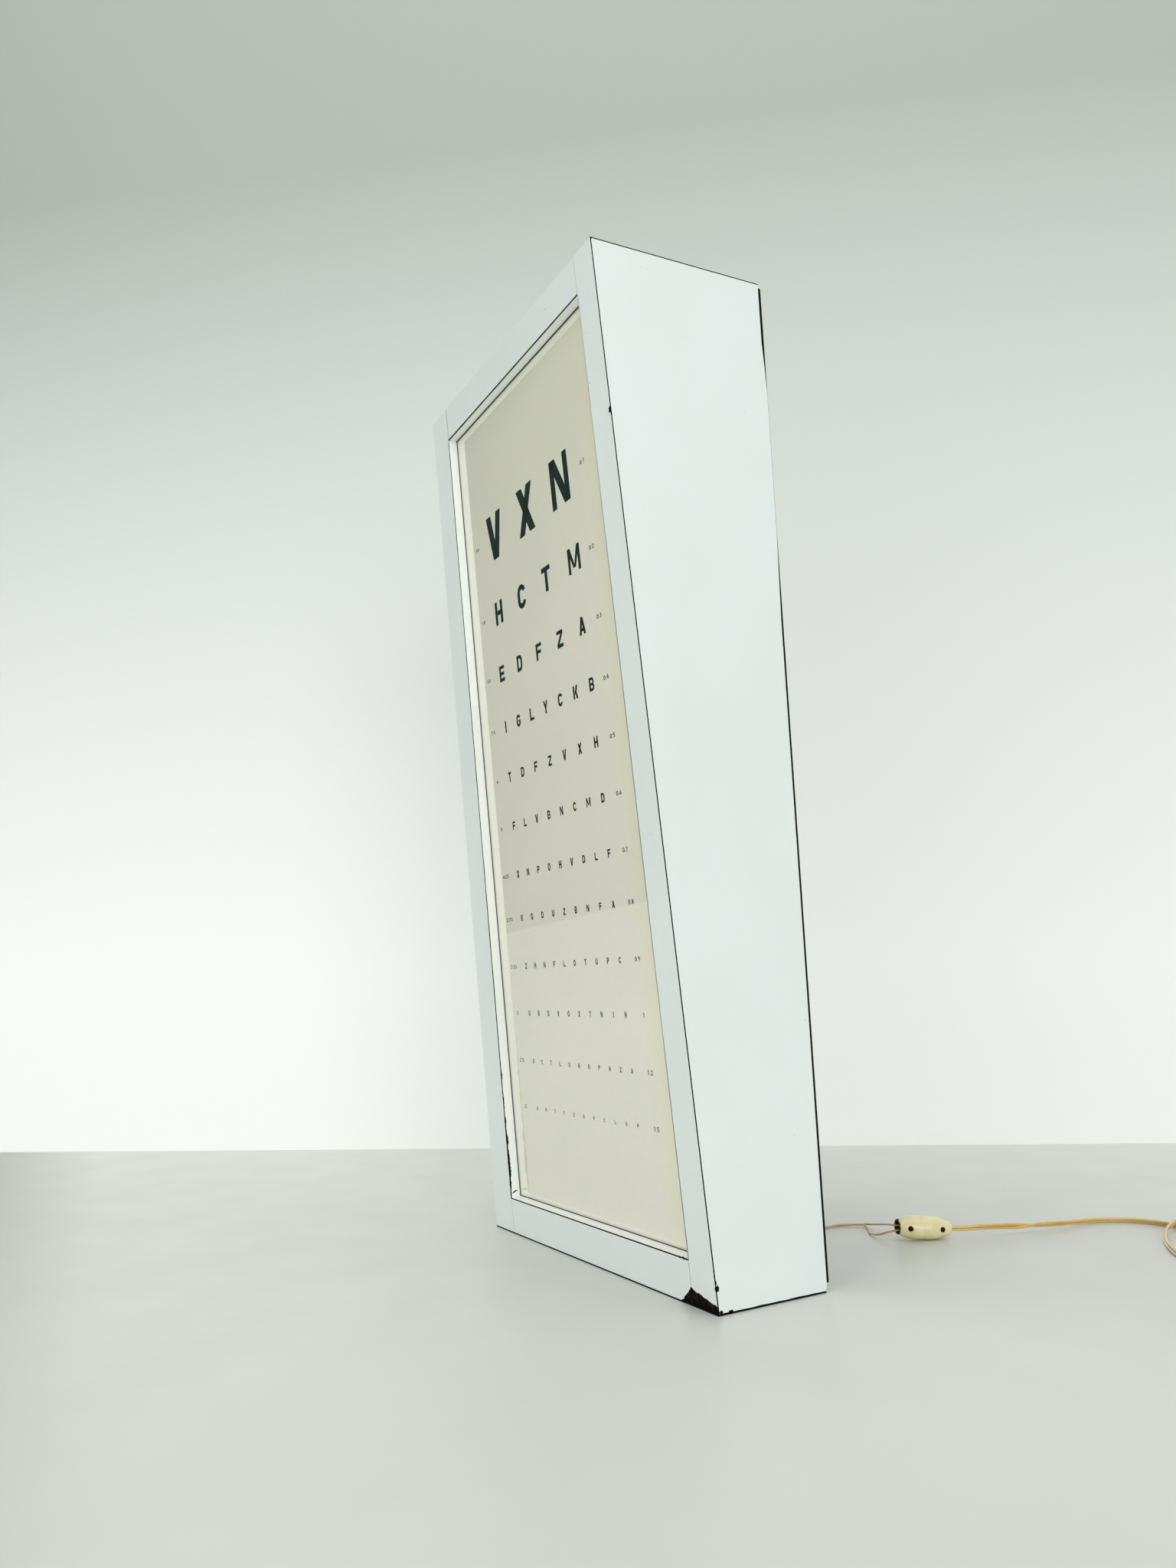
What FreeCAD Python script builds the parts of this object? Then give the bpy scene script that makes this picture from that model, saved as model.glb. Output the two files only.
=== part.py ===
import FreeCAD, Part
import math
import os

V = FreeCAD.Vector

# Lit visual acuity chart: a wedge-shaped cabinet, its front leaning out at the top.
# Millimetres. X to the viewer's right, Y to the back, Z up; the front faces -Y.
# The origin is on the floor, in the middle of the cabinet's footprint box.
# Flexes, switch, coil and plug lie on the floor behind it: their Y is counted from its back.

# Cabinet
WIDTH = 326.0              # across the side skins
FRONT_LENGTH = 760.0       # along the sloping front
LEAN = 5.8                 # degrees, front from vertical
FOOT_DEPTH = 91.0          # along the floor, front edge to the outside of the back
SKIN = 1.0                 # plastic laminate with a dark core
SIDE_BOARD = 15.0
CROSS_BOARD = 15.0
BACK_PANEL = 3.0
BACK_TOP_GAP = 4.0
BACK_FOOT_GAP = 5.8
BACK_SIDE_INSET = 0.5

# Front frame
STILE_LEFT = 35.0
STILE_RIGHT = 27.0
RAIL_TOP = 34.0
RAIL_BOTTOM = 28.0
REVEAL = 8.5               # front face to the pane
FRAME_DEPTH = 21.0
REBATE = 8.0
LINING = 1.0
LINING_JOINT = 0.6146      # share of the opening, where the left lining's two lengths meet

# Pane, printed sheet and diffuser
PANE_PLAY = 1.0
GLASS = 3.0
SHEET = 0.6
OPAL = 3.0
PIN_HEAD = 3.0
PIN_HEAD_HIGH = 0.8
BEAD_PINS = 4

# Back
VENT_WIDE = 5.0
VENT_LONG = 50.0
VENT_PITCH = 14.0
VENTS = 9
VENT_DOWN = 69.0           # panel's head to the upper vents' middle
VENT_FOOT_Z = 96.0
SCREW_HEAD = 7.0
BACK_SCREWS = 5            # up each side
BACK_SCREW_END = 60.0
BACK_SCREW_OUT = 0.43      # share of half the width, for the two along head and foot
SCREW_HEAD_HIGH = 2.0
PLATE_WIDE = 22.0
PLATE_LONG = 60.0
PLATE = 2.0
PLATE_IN = 45.0            # its middle from the side
PLATE_DOWN = 1.0           # its top under the back panel's
PLATE_SCREW_DOWN = 7.0     # its screws go into the top board
PLATE_SCREW_PITCH = 11.0
KEY_HOLE = 10.0
KEY_UP = 15.0              # key hole's middle over the plate's foot
KEY_SLOT = 5.0
KEY_RISE = 14.0
OUTLET_IN = 103.0          # its middle from the side
OUTLET_Z = 60.0
BUSH_HOLE = 12.0
BUSH_FLANGE = 17.0
BUSH_FLANGE_HIGH = 2.5
BUSH_BORE = 3.6

# Lamp tray
TRAY_IN = 29.0             # inside of the side board to its fold
TRAY_FLANGE = 10.0
TRAY_FOOT = 66.0
TRAY_DOWN = 44.0           # front's length less the tray's head
TRAY_STAND = 13.0          # inside of the back to the tray's face
TRAY_SHEET = 0.8
TUBE = 26.0
TUBE_DOWN = 76.0           # front's length less the tube's head
TUBE_GLASS = 0.8
TUBE_IN = 56.0             # tray's fold to the tube's axis
TUBE_STAND = 30.0          # tray's face to the tube's axis
TUBE_FOOT = 94.0
CAP_LONG = 12.0
PIN = 2.4
PIN_LONG = 7.0
PIN_SPACING = 12.7
PIN_PLAY = 0.3
HOLDER_WIDE = 20.0
HOLDER_HIGH = 14.0
HOLDER_NOSE = 14.0         # past the tube's axis
STARTER = 21.5
STARTER_LONG = 37.0
STARTER_IN = 18.0          # tray's fold to its axis
SOCKET_HIGH = 10.0
SOCKET_WIDE = 28.0

# Gear on the bottom board
BALLAST_DEEP = 28.0
BALLAST_HIGH = 34.0
BALLAST_IN = 22.0          # from the side board
BALLAST_OFF_BACK = 2.9
BALLAST_OFF_BLOCK = 24.0
TERMINAL = (34.0, 14.0, 13.0)
TERMINAL_SIDE = 6.0        # its middle past the outlet
CLAMP = (16.0, 12.0, 6.0)
TAIL_DROP = 16.0           # clamp to where the tail turns down
WIRE = 1.8

# Flexes and the switch on them
FLEX_NEAR = 2.6
CORE = 1.5
FLEX_FAR = 4.2
SWITCH_LONG = 44.2
SWITCH_WIDE = 17.0
SWITCH_END = 10.0          # across its open end
SWITCH_SHOULDER = 10.8     # across, where its nose begins
SWITCH_NOSE = 6.0          # across the tip, round the flex
SWITCH_NOSE_LONG = 3.7
SWITCH_FLAT = (-6.5, 3.0)  # straight part, from its middle
SWITCH_MOUTH = 8.6
SWITCH_MOUTH_DEEP = 12.0
SWITCH_CUT_BACK = 1.2      # front shell's mouth, worn short
SWITCH_TURN = 64.0         # degrees, its axis from +X
SWITCH_TILT = 4.1          # degrees, its nose down
SWITCH_X = 97.2
SWITCH_BEHIND = 157.2
SWITCH_HOLE = 4.4
SWITCH_HOLE_DEEP = 1.8
SWITCH_HOLE_PLACES = (-13.0, 12.9)
SCREW_PLAY = 0.4
SCREW_THICK = 1.0
BUTTON_LONG = 9.0
BUTTON_WIDE = 5.0
BUTTON_PROUD = 1.6
BUTTON_DEEP = 3.4          # its slot, under the shell
BUTTON_PLAY = 0.4
BUTTON_TRAVEL = 2.5

# Put-away coil and plug
COIL_X = 250.0
COIL_BEHIND = 375.1
COIL_RING = 56.0           # across the middle of its turns
COIL_WIDE = 14.0
COIL_HIGH = 13.4
TIE = 1.2
TIE_WIDE = 8.0
TIE_PLAY = 0.3
PLUG_FROM_COIL = 60.0
PLUG_LONG = 30.0
PLUG_WIDE = 31.0
PLUG_THICK = 15.0
PLUG_ROUND = 4.0
PLUG_PIN = 4.0
PLUG_PIN_LONG = 19.0
PLUG_PIN_SPACING = 19.0

HALF = WIDTH / 2
SLOPE = math.radians(LEAN)
PROUD = PLATE + SCREW_HEAD_HIGH                                 # fittings behind the back
BACK_Y = (FOOT_DEPTH + FRONT_LENGTH * math.sin(SLOPE) - PROUD) / 2
FRONT_Y = BACK_Y - FOOT_DEPTH                                   # front edge on the floor
CARCASS_Y = BACK_Y - BACK_PANEL
OUTLET_X = HALF - OUTLET_IN
PLATE_X = HALF - PLATE_IN
ON_SLOPE = FreeCAD.Placement(V(0, FRONT_Y, 0), FreeCAD.Rotation(V(1, 0, 0), LEAN))


def save(shape, node):
    shape.exportStep("parts/%s.step" % node)


def up_slope(n, w):
    """Point (y, z) at depth n behind the front face and w up its slope."""
    y = FRONT_Y + n * math.cos(SLOPE) - w * math.sin(SLOPE)
    z = n * math.sin(SLOPE) + w * math.cos(SLOPE)
    return y, z


def front_at(n, z):
    """The same for depth n, at the height z."""
    return up_slope(n, (z - n * math.sin(SLOPE)) / math.cos(SLOPE))


def back_at(w, y):
    """The same for w up the slope, at the distance y."""
    n = (y - FRONT_Y + w * math.sin(SLOPE)) / math.cos(SLOPE)
    return up_slope(n, w)


def prism(points, x0, x1):
    """Outline in y and z, from x0 to x1."""
    wire = Part.makePolygon([V(x0, y, z) for y, z in points + points[:1]])
    return Part.Face(wire).extrude(V(x1 - x0, 0, 0))


def block(x0, x1, y0, y1, z0, z1):
    return Part.makeBox(x1 - x0, y1 - y0, z1 - z0, V(x0, y0, z0))


def slope_block(x0, x1, n0, n1, w0, w1):
    """Box square to the front: across, depth behind the face, up the slope."""
    shape = block(x0, x1, n0, n1, w0, w1)
    shape.Placement = ON_SLOPE
    return shape


def rod(centre, axis, diameter, length):
    return Part.makeCylinder(diameter / 2, length, V(*centre), V(*axis))


def group(shapes):
    return Part.makeCompound(shapes)


def bent(points, diameter, share=0.45):
    """Round cord along straight runs that tangent arcs join; prints the tightest radius."""
    pts = [V(*p) for p in points]
    edges = []
    start = pts[0]
    tightest = 1e9
    for a, b, c in zip(pts, pts[1:], pts[2:]):
        back = (a - b)
        ahead = (c - b)
        cut = share * min(back.Length, ahead.Length)
        back.normalize()
        ahead.normalize()
        turn = math.pi - back.getAngle(ahead)
        radius = cut / math.tan(turn / 2)
        tightest = min(tightest, radius)
        first = b + back * cut
        last = b + ahead * cut
        inward = back + ahead
        inward.normalize()
        middle = b + inward * (radius / math.cos(turn / 2) - radius)
        edges.append(Part.LineSegment(start, first).toShape())
        edges.append(Part.Arc(first, middle, last).toShape())
        start = last
    edges.append(Part.LineSegment(start, pts[-1]).toShape())
    wire = Part.Wire(edges)
    ring = Part.Wire(Part.Circle(pts[0], pts[1] - pts[0], diameter / 2).toShape())
    solid = wire.makePipeShell([ring], True, False)
    want = wire.Length * math.pi * diameter * diameter / 4
    print("cord d %.1f length %.1f tightest radius %.1f volume ratio %.4f"
          % (diameter, wire.Length, tightest, solid.Volume / want))
    return solid


def behind(points):
    """Points whose Y is counted from the back of the cabinet."""
    return [(x, BACK_Y + y, z) for x, y, z in points]


os.makedirs("parts", exist_ok=True)

# Carcass

foot = SKIN
head = FRONT_LENGTH - SKIN
shell = [front_at(FRAME_DEPTH, foot), up_slope(FRAME_DEPTH, head),
         back_at(head, CARCASS_Y), (CARCASS_Y, foot)]
inner_x = HALF - SKIN - SIDE_BOARD
for side, name in ((-1, "left"), (1, "right")):
    edge = sorted((side * inner_x, side * (HALF - SKIN)))
    save(prism(shell, *edge), "side_board_%s" % name)

under = head - CROSS_BOARD
top_outline = [up_slope(FRAME_DEPTH, head), back_at(head, CARCASS_Y),
               back_at(under, CARCASS_Y), up_slope(FRAME_DEPTH, under)]
save(prism(top_outline, -inner_x, inner_x), "top_board")

over = foot + CROSS_BOARD
foot_outline = [front_at(FRAME_DEPTH, foot), (CARCASS_Y, foot),
                (CARCASS_Y, over), front_at(FRAME_DEPTH, over)]
save(prism(foot_outline, -inner_x, inner_x), "bottom_board")

# Skins of the carcass: the front's skin covers the side's and the top's edges

side_skin = [front_at(SKIN, foot), up_slope(SKIN, head), back_at(head, CARCASS_Y), (CARCASS_Y, foot)]
for side, name in ((-1, "left"), (1, "right")):
    edge = sorted((side * (HALF - SKIN), side * HALF))
    save(prism(side_skin, *edge), "side_skin_%s" % name)

top_skin = [up_slope(SKIN, FRONT_LENGTH), back_at(FRONT_LENGTH, CARCASS_Y),
            back_at(head, CARCASS_Y), up_slope(SKIN, head)]
save(prism(top_skin, -HALF, HALF), "top_skin")

foot_skin = [front_at(0, 0), (CARCASS_Y, 0), (CARCASS_Y, foot), front_at(0, foot)]
save(prism(foot_skin, -HALF, HALF), "bottom_skin")

# Front frame: rebated stiles run the full height, rails between them

open_left = -HALF + STILE_LEFT
open_right = HALF - STILE_RIGHT
open_foot = RAIL_BOTTOM
open_head = FRONT_LENGTH - RAIL_TOP
reach = 2 * FRONT_LENGTH
above_foot = prism([(-reach, foot), (reach, foot), (reach, reach), (-reach, reach)], -HALF, HALF)
rebate = slope_block(open_left - REBATE, open_right + REBATE, REVEAL, FRAME_DEPTH,
                     open_foot - REBATE, open_head + REBATE)
opening = slope_block(open_left - LINING, open_right + LINING, -SKIN, FRAME_DEPTH,
                      open_foot - LINING, open_head + LINING)


def frame_piece(x0, x1, w0, w1, n0, n1):
    piece = slope_block(x0, x1, n0, n1, w0, w1)
    return piece.cut(opening).cut(rebate).common(above_foot)


frame = {
    "stile_left": (-HALF, open_left, -20, FRONT_LENGTH),
    "stile_right": (open_right, HALF, -20, FRONT_LENGTH),
    "rail_top": (open_left, open_right, open_head, FRONT_LENGTH),
    "rail_bottom": (open_left, open_right, -20, open_foot),
}
for name, (x0, x1, w0, w1) in frame.items():
    bx0 = max(x0, -HALF + SKIN)
    bx1 = min(x1, HALF - SKIN)
    body = frame_piece(bx0, bx1, w0, min(w1, head), SKIN, FRAME_DEPTH)
    save(body, name)
    save(frame_piece(x0, x1, w0, w1, 0, SKIN), name + "_skin")

# Laminate linings of the opening, the left one in two lengths

lining_joint = open_foot + (open_head - open_foot) * LINING_JOINT
linings = {
    "lining_left_lower": (open_left - LINING, open_left, open_foot - LINING, lining_joint),
    "lining_left_upper": (open_left - LINING, open_left, lining_joint, open_head + LINING),
    "lining_right": (open_right, open_right + LINING, open_foot - LINING, open_head + LINING),
    "lining_top": (open_left, open_right, open_head, open_head + LINING),
    "lining_bottom": (open_left, open_right, open_foot - LINING, open_foot),
}
for name, (x0, x1, w0, w1) in linings.items():
    save(slope_block(x0, x1, 0, REVEAL, w0, w1), name)

# Pane, printed sheet and opal diffuser lie in the rebate, held by beads

pane_x0 = open_left - REBATE + PANE_PLAY
pane_x1 = open_right + REBATE - PANE_PLAY
pane_w0 = open_foot - REBATE + PANE_PLAY
pane_w1 = open_head + REBATE - PANE_PLAY
depth = REVEAL
for name, thick in (("glass_pane", GLASS), ("chart_sheet", SHEET), ("opal_diffuser", OPAL)):
    save(slope_block(pane_x0, pane_x1, depth, depth + thick, pane_w0, pane_w1), name)
    depth = depth + thick

bead_x0 = open_left - REBATE
bead_x1 = open_right + REBATE
bead_w0 = open_foot - REBATE
bead_w1 = open_head + REBATE
beads = {
    "bead_left": (bead_x0, bead_x0 + REBATE, bead_w0, bead_w1),
    "bead_right": (bead_x1 - REBATE, bead_x1, bead_w0, bead_w1),
    "bead_top": (bead_x0 + REBATE, bead_x1 - REBATE, bead_w1 - REBATE, bead_w1),
    "bead_bottom": (bead_x0 + REBATE, bead_x1 - REBATE, bead_w0, bead_w0 + REBATE),
}
for name, (x0, x1, w0, w1) in beads.items():
    save(slope_block(x0, x1, depth, FRAME_DEPTH, w0, w1), name)

pins = []
for i in range(BEAD_PINS):
    w = open_foot + (open_head - open_foot) * (i + 0.5) / BEAD_PINS
    for x in (bead_x0 + REBATE / 2, bead_x1 - REBATE / 2):
        pin = rod((x, FRAME_DEPTH, w), (0, 1, 0), PIN_HEAD, PIN_HEAD_HIGH)
        pin.Placement = ON_SLOPE
        pins.append(pin)
save(group(pins), "bead_pins")

# Back panel with vents, its screws, hanging plates and the flex outlet

panel_x = HALF - BACK_SIDE_INSET
back_top_z = back_at(FRONT_LENGTH, BACK_Y)[1]
panel_head = back_top_z - BACK_TOP_GAP
panel = block(-panel_x, panel_x, CARCASS_Y, BACK_Y, BACK_FOOT_GAP, panel_head)
for z in (panel_head - VENT_DOWN, VENT_FOOT_Z):
    for i in range(VENTS):
        x = (i - (VENTS - 1) / 2) * VENT_PITCH
        panel = panel.cut(block(x - VENT_WIDE / 2, x + VENT_WIDE / 2, CARCASS_Y - 1, BACK_Y + 1,
                                z - VENT_LONG / 2, z + VENT_LONG / 2))
panel = panel.cut(rod((OUTLET_X, CARCASS_Y - 1, OUTLET_Z), (0, 1, 0), BUSH_HOLE, BACK_PANEL + 2))
plate_head = panel_head - PLATE_DOWN
plate_foot = plate_head - PLATE_LONG
key_z = plate_foot + KEY_UP
for x in (-PLATE_X, PLATE_X):
    panel = panel.cut(block(x - KEY_HOLE / 2, x + KEY_HOLE / 2, CARCASS_Y - 1, BACK_Y + 1,
                            key_z - KEY_HOLE / 2, key_z + KEY_RISE + KEY_HOLE / 2))
save(panel, "back_panel")

screws = []
screw_x = HALF - SKIN - SIDE_BOARD / 2
for x in (-screw_x, screw_x):
    for i in range(BACK_SCREWS):
        z = BACK_SCREW_END + i * (panel_head - 2 * BACK_SCREW_END) / (BACK_SCREWS - 1)
        screws.append(rod((x, BACK_Y, z), (0, 1, 0), SCREW_HEAD, SCREW_HEAD_HIGH))
for x in (-HALF * BACK_SCREW_OUT, HALF * BACK_SCREW_OUT):
    for z in (BACK_FOOT_GAP + PLATE_SCREW_DOWN, panel_head - PLATE_SCREW_DOWN):
        screws.append(rod((x, BACK_Y, z), (0, 1, 0), SCREW_HEAD, SCREW_HEAD_HIGH))
save(group(screws), "back_panel_screws")

plates = []
plate_screws = []
for x in (-PLATE_X, PLATE_X):
    plate = block(x - PLATE_WIDE / 2, x + PLATE_WIDE / 2, BACK_Y, BACK_Y + PLATE, plate_foot, plate_head)
    plate = plate.cut(rod((x, BACK_Y - 1, key_z), (0, 1, 0), KEY_HOLE, PLATE + 2))
    plate = plate.cut(block(x - KEY_SLOT / 2, x + KEY_SLOT / 2, BACK_Y - 1, BACK_Y + PLATE + 1,
                            key_z, key_z + KEY_RISE))
    plates.append(plate)
    for dx in (-PLATE_SCREW_PITCH / 2, PLATE_SCREW_PITCH / 2):
        plate_screws.append(rod((x + dx, BACK_Y + PLATE, plate_head - PLATE_SCREW_DOWN), (0, 1, 0),
                                SCREW_HEAD, SCREW_HEAD_HIGH))
save(group(plates), "hanging_plates")
save(group(plate_screws), "hanging_plate_screws")

bush = rod((OUTLET_X, BACK_Y, OUTLET_Z), (0, 1, 0), BUSH_FLANGE, BUSH_FLANGE_HIGH)
bush = bush.fuse(rod((OUTLET_X, CARCASS_Y, OUTLET_Z), (0, 1, 0), BUSH_HOLE, BACK_PANEL))
bush = bush.cut(rod((OUTLET_X, CARCASS_Y - 1, OUTLET_Z), (0, 1, 0), BUSH_BORE, 20))
save(bush.removeSplitter(), "outlet_bush")

# Lamp tray: a folded white sheet on the inside of the back

tray_face = CARCASS_Y - TRAY_STAND
tray_x = inner_x - TRAY_IN
tray_head = FRONT_LENGTH - TRAY_DOWN
tray = block(-tray_x, tray_x, tray_face, tray_face + TRAY_SHEET, TRAY_FOOT, tray_head)
for x in (-tray_x, tray_x - TRAY_SHEET):
    tray = tray.fuse(block(x, x + TRAY_SHEET, tray_face, CARCASS_Y, TRAY_FOOT, tray_head))
for x0, x1 in ((-tray_x - TRAY_FLANGE, -tray_x + TRAY_SHEET), (tray_x - TRAY_SHEET, tray_x + TRAY_FLANGE)):
    tray = tray.fuse(block(x0, x1, CARCASS_Y - TRAY_SHEET, CARCASS_Y, TRAY_FOOT, tray_head))
save(tray.removeSplitter(), "lamp_tray")

tray_screws = []
for x in (-tray_x - TRAY_FLANGE / 2, tray_x + TRAY_FLANGE / 2):
    for z in (TRAY_FOOT + 30, (TRAY_FOOT + tray_head) / 2, tray_head - 30):
        tray_screws.append(rod((x, CARCASS_Y - TRAY_SHEET, z), (0, -1, 0), SCREW_HEAD, SCREW_HEAD_HIGH))
save(group(tray_screws), "lamp_tray_screws")

tube_y = tray_face - TUBE_STAND
tube_x = tray_x - TUBE_IN
tube_head = FRONT_LENGTH - TUBE_DOWN
tube_long = tube_head - TUBE_FOOT
caps = []
holders = []
for x, name in ((-tube_x, "left"), (tube_x, "right")):
    tube = rod((x, tube_y, TUBE_FOOT + CAP_LONG), (0, 0, 1), TUBE, tube_long - 2 * CAP_LONG)
    tube = tube.cut(rod((x, tube_y, TUBE_FOOT + CAP_LONG + TUBE_GLASS), (0, 0, 1),
                        TUBE - 2 * TUBE_GLASS, tube_long - 2 * CAP_LONG - 2 * TUBE_GLASS))
    save(tube, "tube_%s" % name)
    for z, up in ((TUBE_FOOT, -1), (tube_head, 1)):
        cap = rod((x, tube_y, z), (0, 0, -up), TUBE, CAP_LONG)
        holder = block(x - HOLDER_WIDE / 2, x + HOLDER_WIDE / 2, tube_y - HOLDER_NOSE, tray_face,
                       min(z, z + up * HOLDER_HIGH), max(z, z + up * HOLDER_HIGH))
        for dx in (-PIN_SPACING / 2, PIN_SPACING / 2):
            cap = cap.fuse(rod((x + dx, tube_y, z), (0, 0, up), PIN, PIN_LONG))
            holder = holder.cut(rod((x + dx, tube_y, z - up), (0, 0, up), PIN + 2 * PIN_PLAY,
                                    PIN_LONG + PIN_PLAY + 1))
        caps.append(cap)
        holders.append(holder)
save(group(caps), "tube_caps")
save(group(holders), "lampholders")

sockets = []
starters = []
starter_x = tray_x - STARTER_IN
starter_z = (TRAY_FOOT + tray_head) / 2
for x in (-starter_x, starter_x):
    sockets.append(block(x - SOCKET_WIDE / 2, x + SOCKET_WIDE / 2, tray_face - SOCKET_HIGH, tray_face,
                         starter_z - SOCKET_WIDE / 2, starter_z + SOCKET_WIDE / 2))
    starters.append(rod((x, tray_face - SOCKET_HIGH, starter_z), (0, -1, 0), STARTER, STARTER_LONG))
save(group(sockets), "starter_sockets")
save(group(starters), "starters")

# Gear on the bottom board

tx, ty, tz = TERMINAL
terminal_x = OUTLET_X + TERMINAL_SIDE
terminal_y = CARCASS_Y - CLAMP[1] - TAIL_DROP
ballast_foot_x = -inner_x + BALLAST_IN
ballast_end = terminal_x - tx / 2 - BALLAST_OFF_BLOCK
ballast_y = CARCASS_Y - BALLAST_OFF_BACK - BALLAST_DEEP
ballast_top = over + BALLAST_HIGH
save(block(ballast_foot_x, ballast_end, ballast_y, ballast_y + BALLAST_DEEP, over, ballast_top), "ballast")
terminal = block(terminal_x - tx / 2, terminal_x + tx / 2, terminal_y - ty / 2, terminal_y + ty / 2,
                 over, over + tz)
save(terminal, "terminal_block")
cx, cy, cz = CLAMP
clamp = block(OUTLET_X - cx / 2, OUTLET_X + cx / 2, CARCASS_Y - cy, CARCASS_Y, OUTLET_Z - cz / 2,
              OUTLET_Z + cz / 2)
clamp = clamp.cut(rod((OUTLET_X, CARCASS_Y - cy - 1, OUTLET_Z), (0, 1, 0), BUSH_BORE, cy + 2))
save(clamp, "flex_clamp")

# Wires inside: clamp to block, block to ballast, both to the holders, holders to the starters

holder_foot = TUBE_FOOT - HOLDER_HIGH
holder_head = tube_head + HOLDER_HIGH
block_top = over + tz
link_y = terminal_y + 1
riser_y = ballast_y + BALLAST_DEEP * 0.2
riser_x = OUTLET_X + 8
wires = [
    bent([(OUTLET_X, CARCASS_Y - cy, OUTLET_Z), (OUTLET_X, terminal_y, OUTLET_Z),
          (OUTLET_X, terminal_y, block_top)], WIRE),
    rod((ballast_end, link_y, over + 7), (1, 0, 0), WIRE, terminal_x - tx / 2 - ballast_end),
    rod((riser_x, terminal_y, block_top), (0, 0, 1), WIRE, holder_foot - block_top),
    rod((-tube_x, riser_y, ballast_top), (0, 0, 1), WIRE, holder_foot - ballast_top),
    bent([(-tube_x, tube_y + 8, holder_head), (-tube_x, tube_y + 8, holder_head + 17),
          (-tube_x / 3, tube_y + 8, holder_head + 20), (tube_x / 3, tube_y + 8, holder_head + 20),
          (tube_x, tube_y + 8, holder_head + 17), (tube_x, tube_y + 8, holder_head)], WIRE),
]
for s in (-1, 1):
    x = s * (tube_x + HOLDER_WIDE / 2)
    run = s * (starter_x - 4)
    y = tray_face - SOCKET_HIGH / 2
    for near, way in ((holder_foot + 7, -1), (holder_head - 7, 1)):
        far_end = starter_z + way * SOCKET_WIDE / 2
        wires.append(bent([(x, y, near), (run, y, near), (run, y, far_end)], WIRE))
save(group(wires), "inner_wires")

# Flex from the outlet to the switch, where it parts into its two cores

near_z = FLEX_NEAR / 2
near_route = [
    (OUTLET_X, BUSH_FLANGE_HIGH, OUTLET_Z),
    (OUTLET_X, 25, 58),
    (56, 47, 34),
    (46, 66, 8),
    (34, 84, near_z),
    (23, 106, near_z),
    (19.5, 129, near_z),
    (25, 145, near_z),
    (36, 152.3, 2.0),
]
save(bent(behind(near_route), FLEX_NEAR), "flex_near")

half_long = SWITCH_LONG / 2
radius = SWITCH_WIDE / 2
end = SWITCH_END / 2
shoulder = SWITCH_SHOULDER / 2
nose_x = half_long - SWITCH_NOSE_LONG
flat_x0, flat_x1 = SWITCH_FLAT


def fall_radius(run, drop):
    """Radius of the arc that leaves a level line and drops so far over that run."""
    return (run * run + drop * drop) / (2 * drop)


fall_left = fall_radius(flat_x0 + half_long, radius - end)
fall_right = fall_radius(nose_x - flat_x1, radius - shoulder)
turn = math.radians(SWITCH_TURN)
tilt = math.radians(SWITCH_TILT)
axis = V(math.cos(turn) * math.cos(tilt), math.sin(turn) * math.cos(tilt), -math.sin(tilt))
upward = V(math.cos(turn) * math.sin(tilt), math.sin(turn) * math.sin(tilt), math.cos(tilt))
switch_z = flat_x1 * math.sin(tilt) + fall_right - (fall_right - radius) * math.cos(tilt)
switch_mid = V(SWITCH_X, SWITCH_BEHIND, switch_z)


def on_switch(a, h=0.0):
    """Point a along the switch's axis and h above it, Y from the back."""
    p = switch_mid + axis * a + upward * h
    return (p.x, p.y, p.z)


core_in = -half_long + SWITCH_MOUTH_DEEP * 0.8
upper_route = [
    (35.8, 153.4, 2.2),
    (44, 153, 3.2),
    (61, 147, 6.8),
    (77, 140, 10.0),
    (86, 137.6, 11.2),
    on_switch(core_in, 1.0),
]
lower_route = [
    (36.6, 151.6, 1.8),
    (46, 147.5, 1.3),
    (58, 135.5, 1.2),
    (73, 131, 2.6),
    (84, 133.5, 7.0),
    on_switch(core_in, -1.3),
]
save(bent(behind(upper_route), CORE), "core_upper")
save(bent(behind(lower_route), CORE), "core_lower")

# In-line switch: a spindle-shaped body in two shells, screws in recesses, a push-through button



def falling(x0, x1, drop):
    """Point half way along the arc that leaves the straight part at x0 and drops towards x1."""
    bend = fall_radius(abs(x1 - x0), drop)
    half = math.asin(abs(x1 - x0) / bend) / 2
    return V(x0 + math.copysign(bend * math.sin(half), x1 - x0), 0, radius - bend * (1 - math.cos(half)))


tip = SWITCH_NOSE / 2
round_mid = V(half_long - SWITCH_NOSE_LONG * 0.3, 0, tip + (shoulder - tip) * 0.6)
outline = [
    Part.LineSegment(V(-half_long, 0, 0), V(-half_long, 0, end)).toShape(),
    Part.Arc(V(-half_long, 0, end), falling(flat_x0, -half_long, radius - end), V(flat_x0, 0, radius)).toShape(),
    Part.LineSegment(V(flat_x0, 0, radius), V(flat_x1, 0, radius)).toShape(),
    Part.Arc(V(flat_x1, 0, radius), falling(flat_x1, nose_x, radius - shoulder), V(nose_x, 0, shoulder)).toShape(),
    Part.Arc(V(nose_x, 0, shoulder), round_mid, V(half_long, 0, tip)).toShape(),
    Part.LineSegment(V(half_long, 0, tip), V(half_long, 0, 0)).toShape(),
    Part.LineSegment(V(half_long, 0, 0), V(-half_long, 0, 0)).toShape(),
]
barrel = Part.Face(Part.Wire(outline)).revolve(V(0, 0, 0), V(1, 0, 0), 360)
barrel = barrel.cut(rod((-half_long - 1, 0, 0), (1, 0, 0), SWITCH_MOUTH, SWITCH_MOUTH_DEEP + 1))
barrel = barrel.cut(rod((half_long - 8, 0, 0), (1, 0, 0), FLEX_FAR + 0.6, 12))


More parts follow.
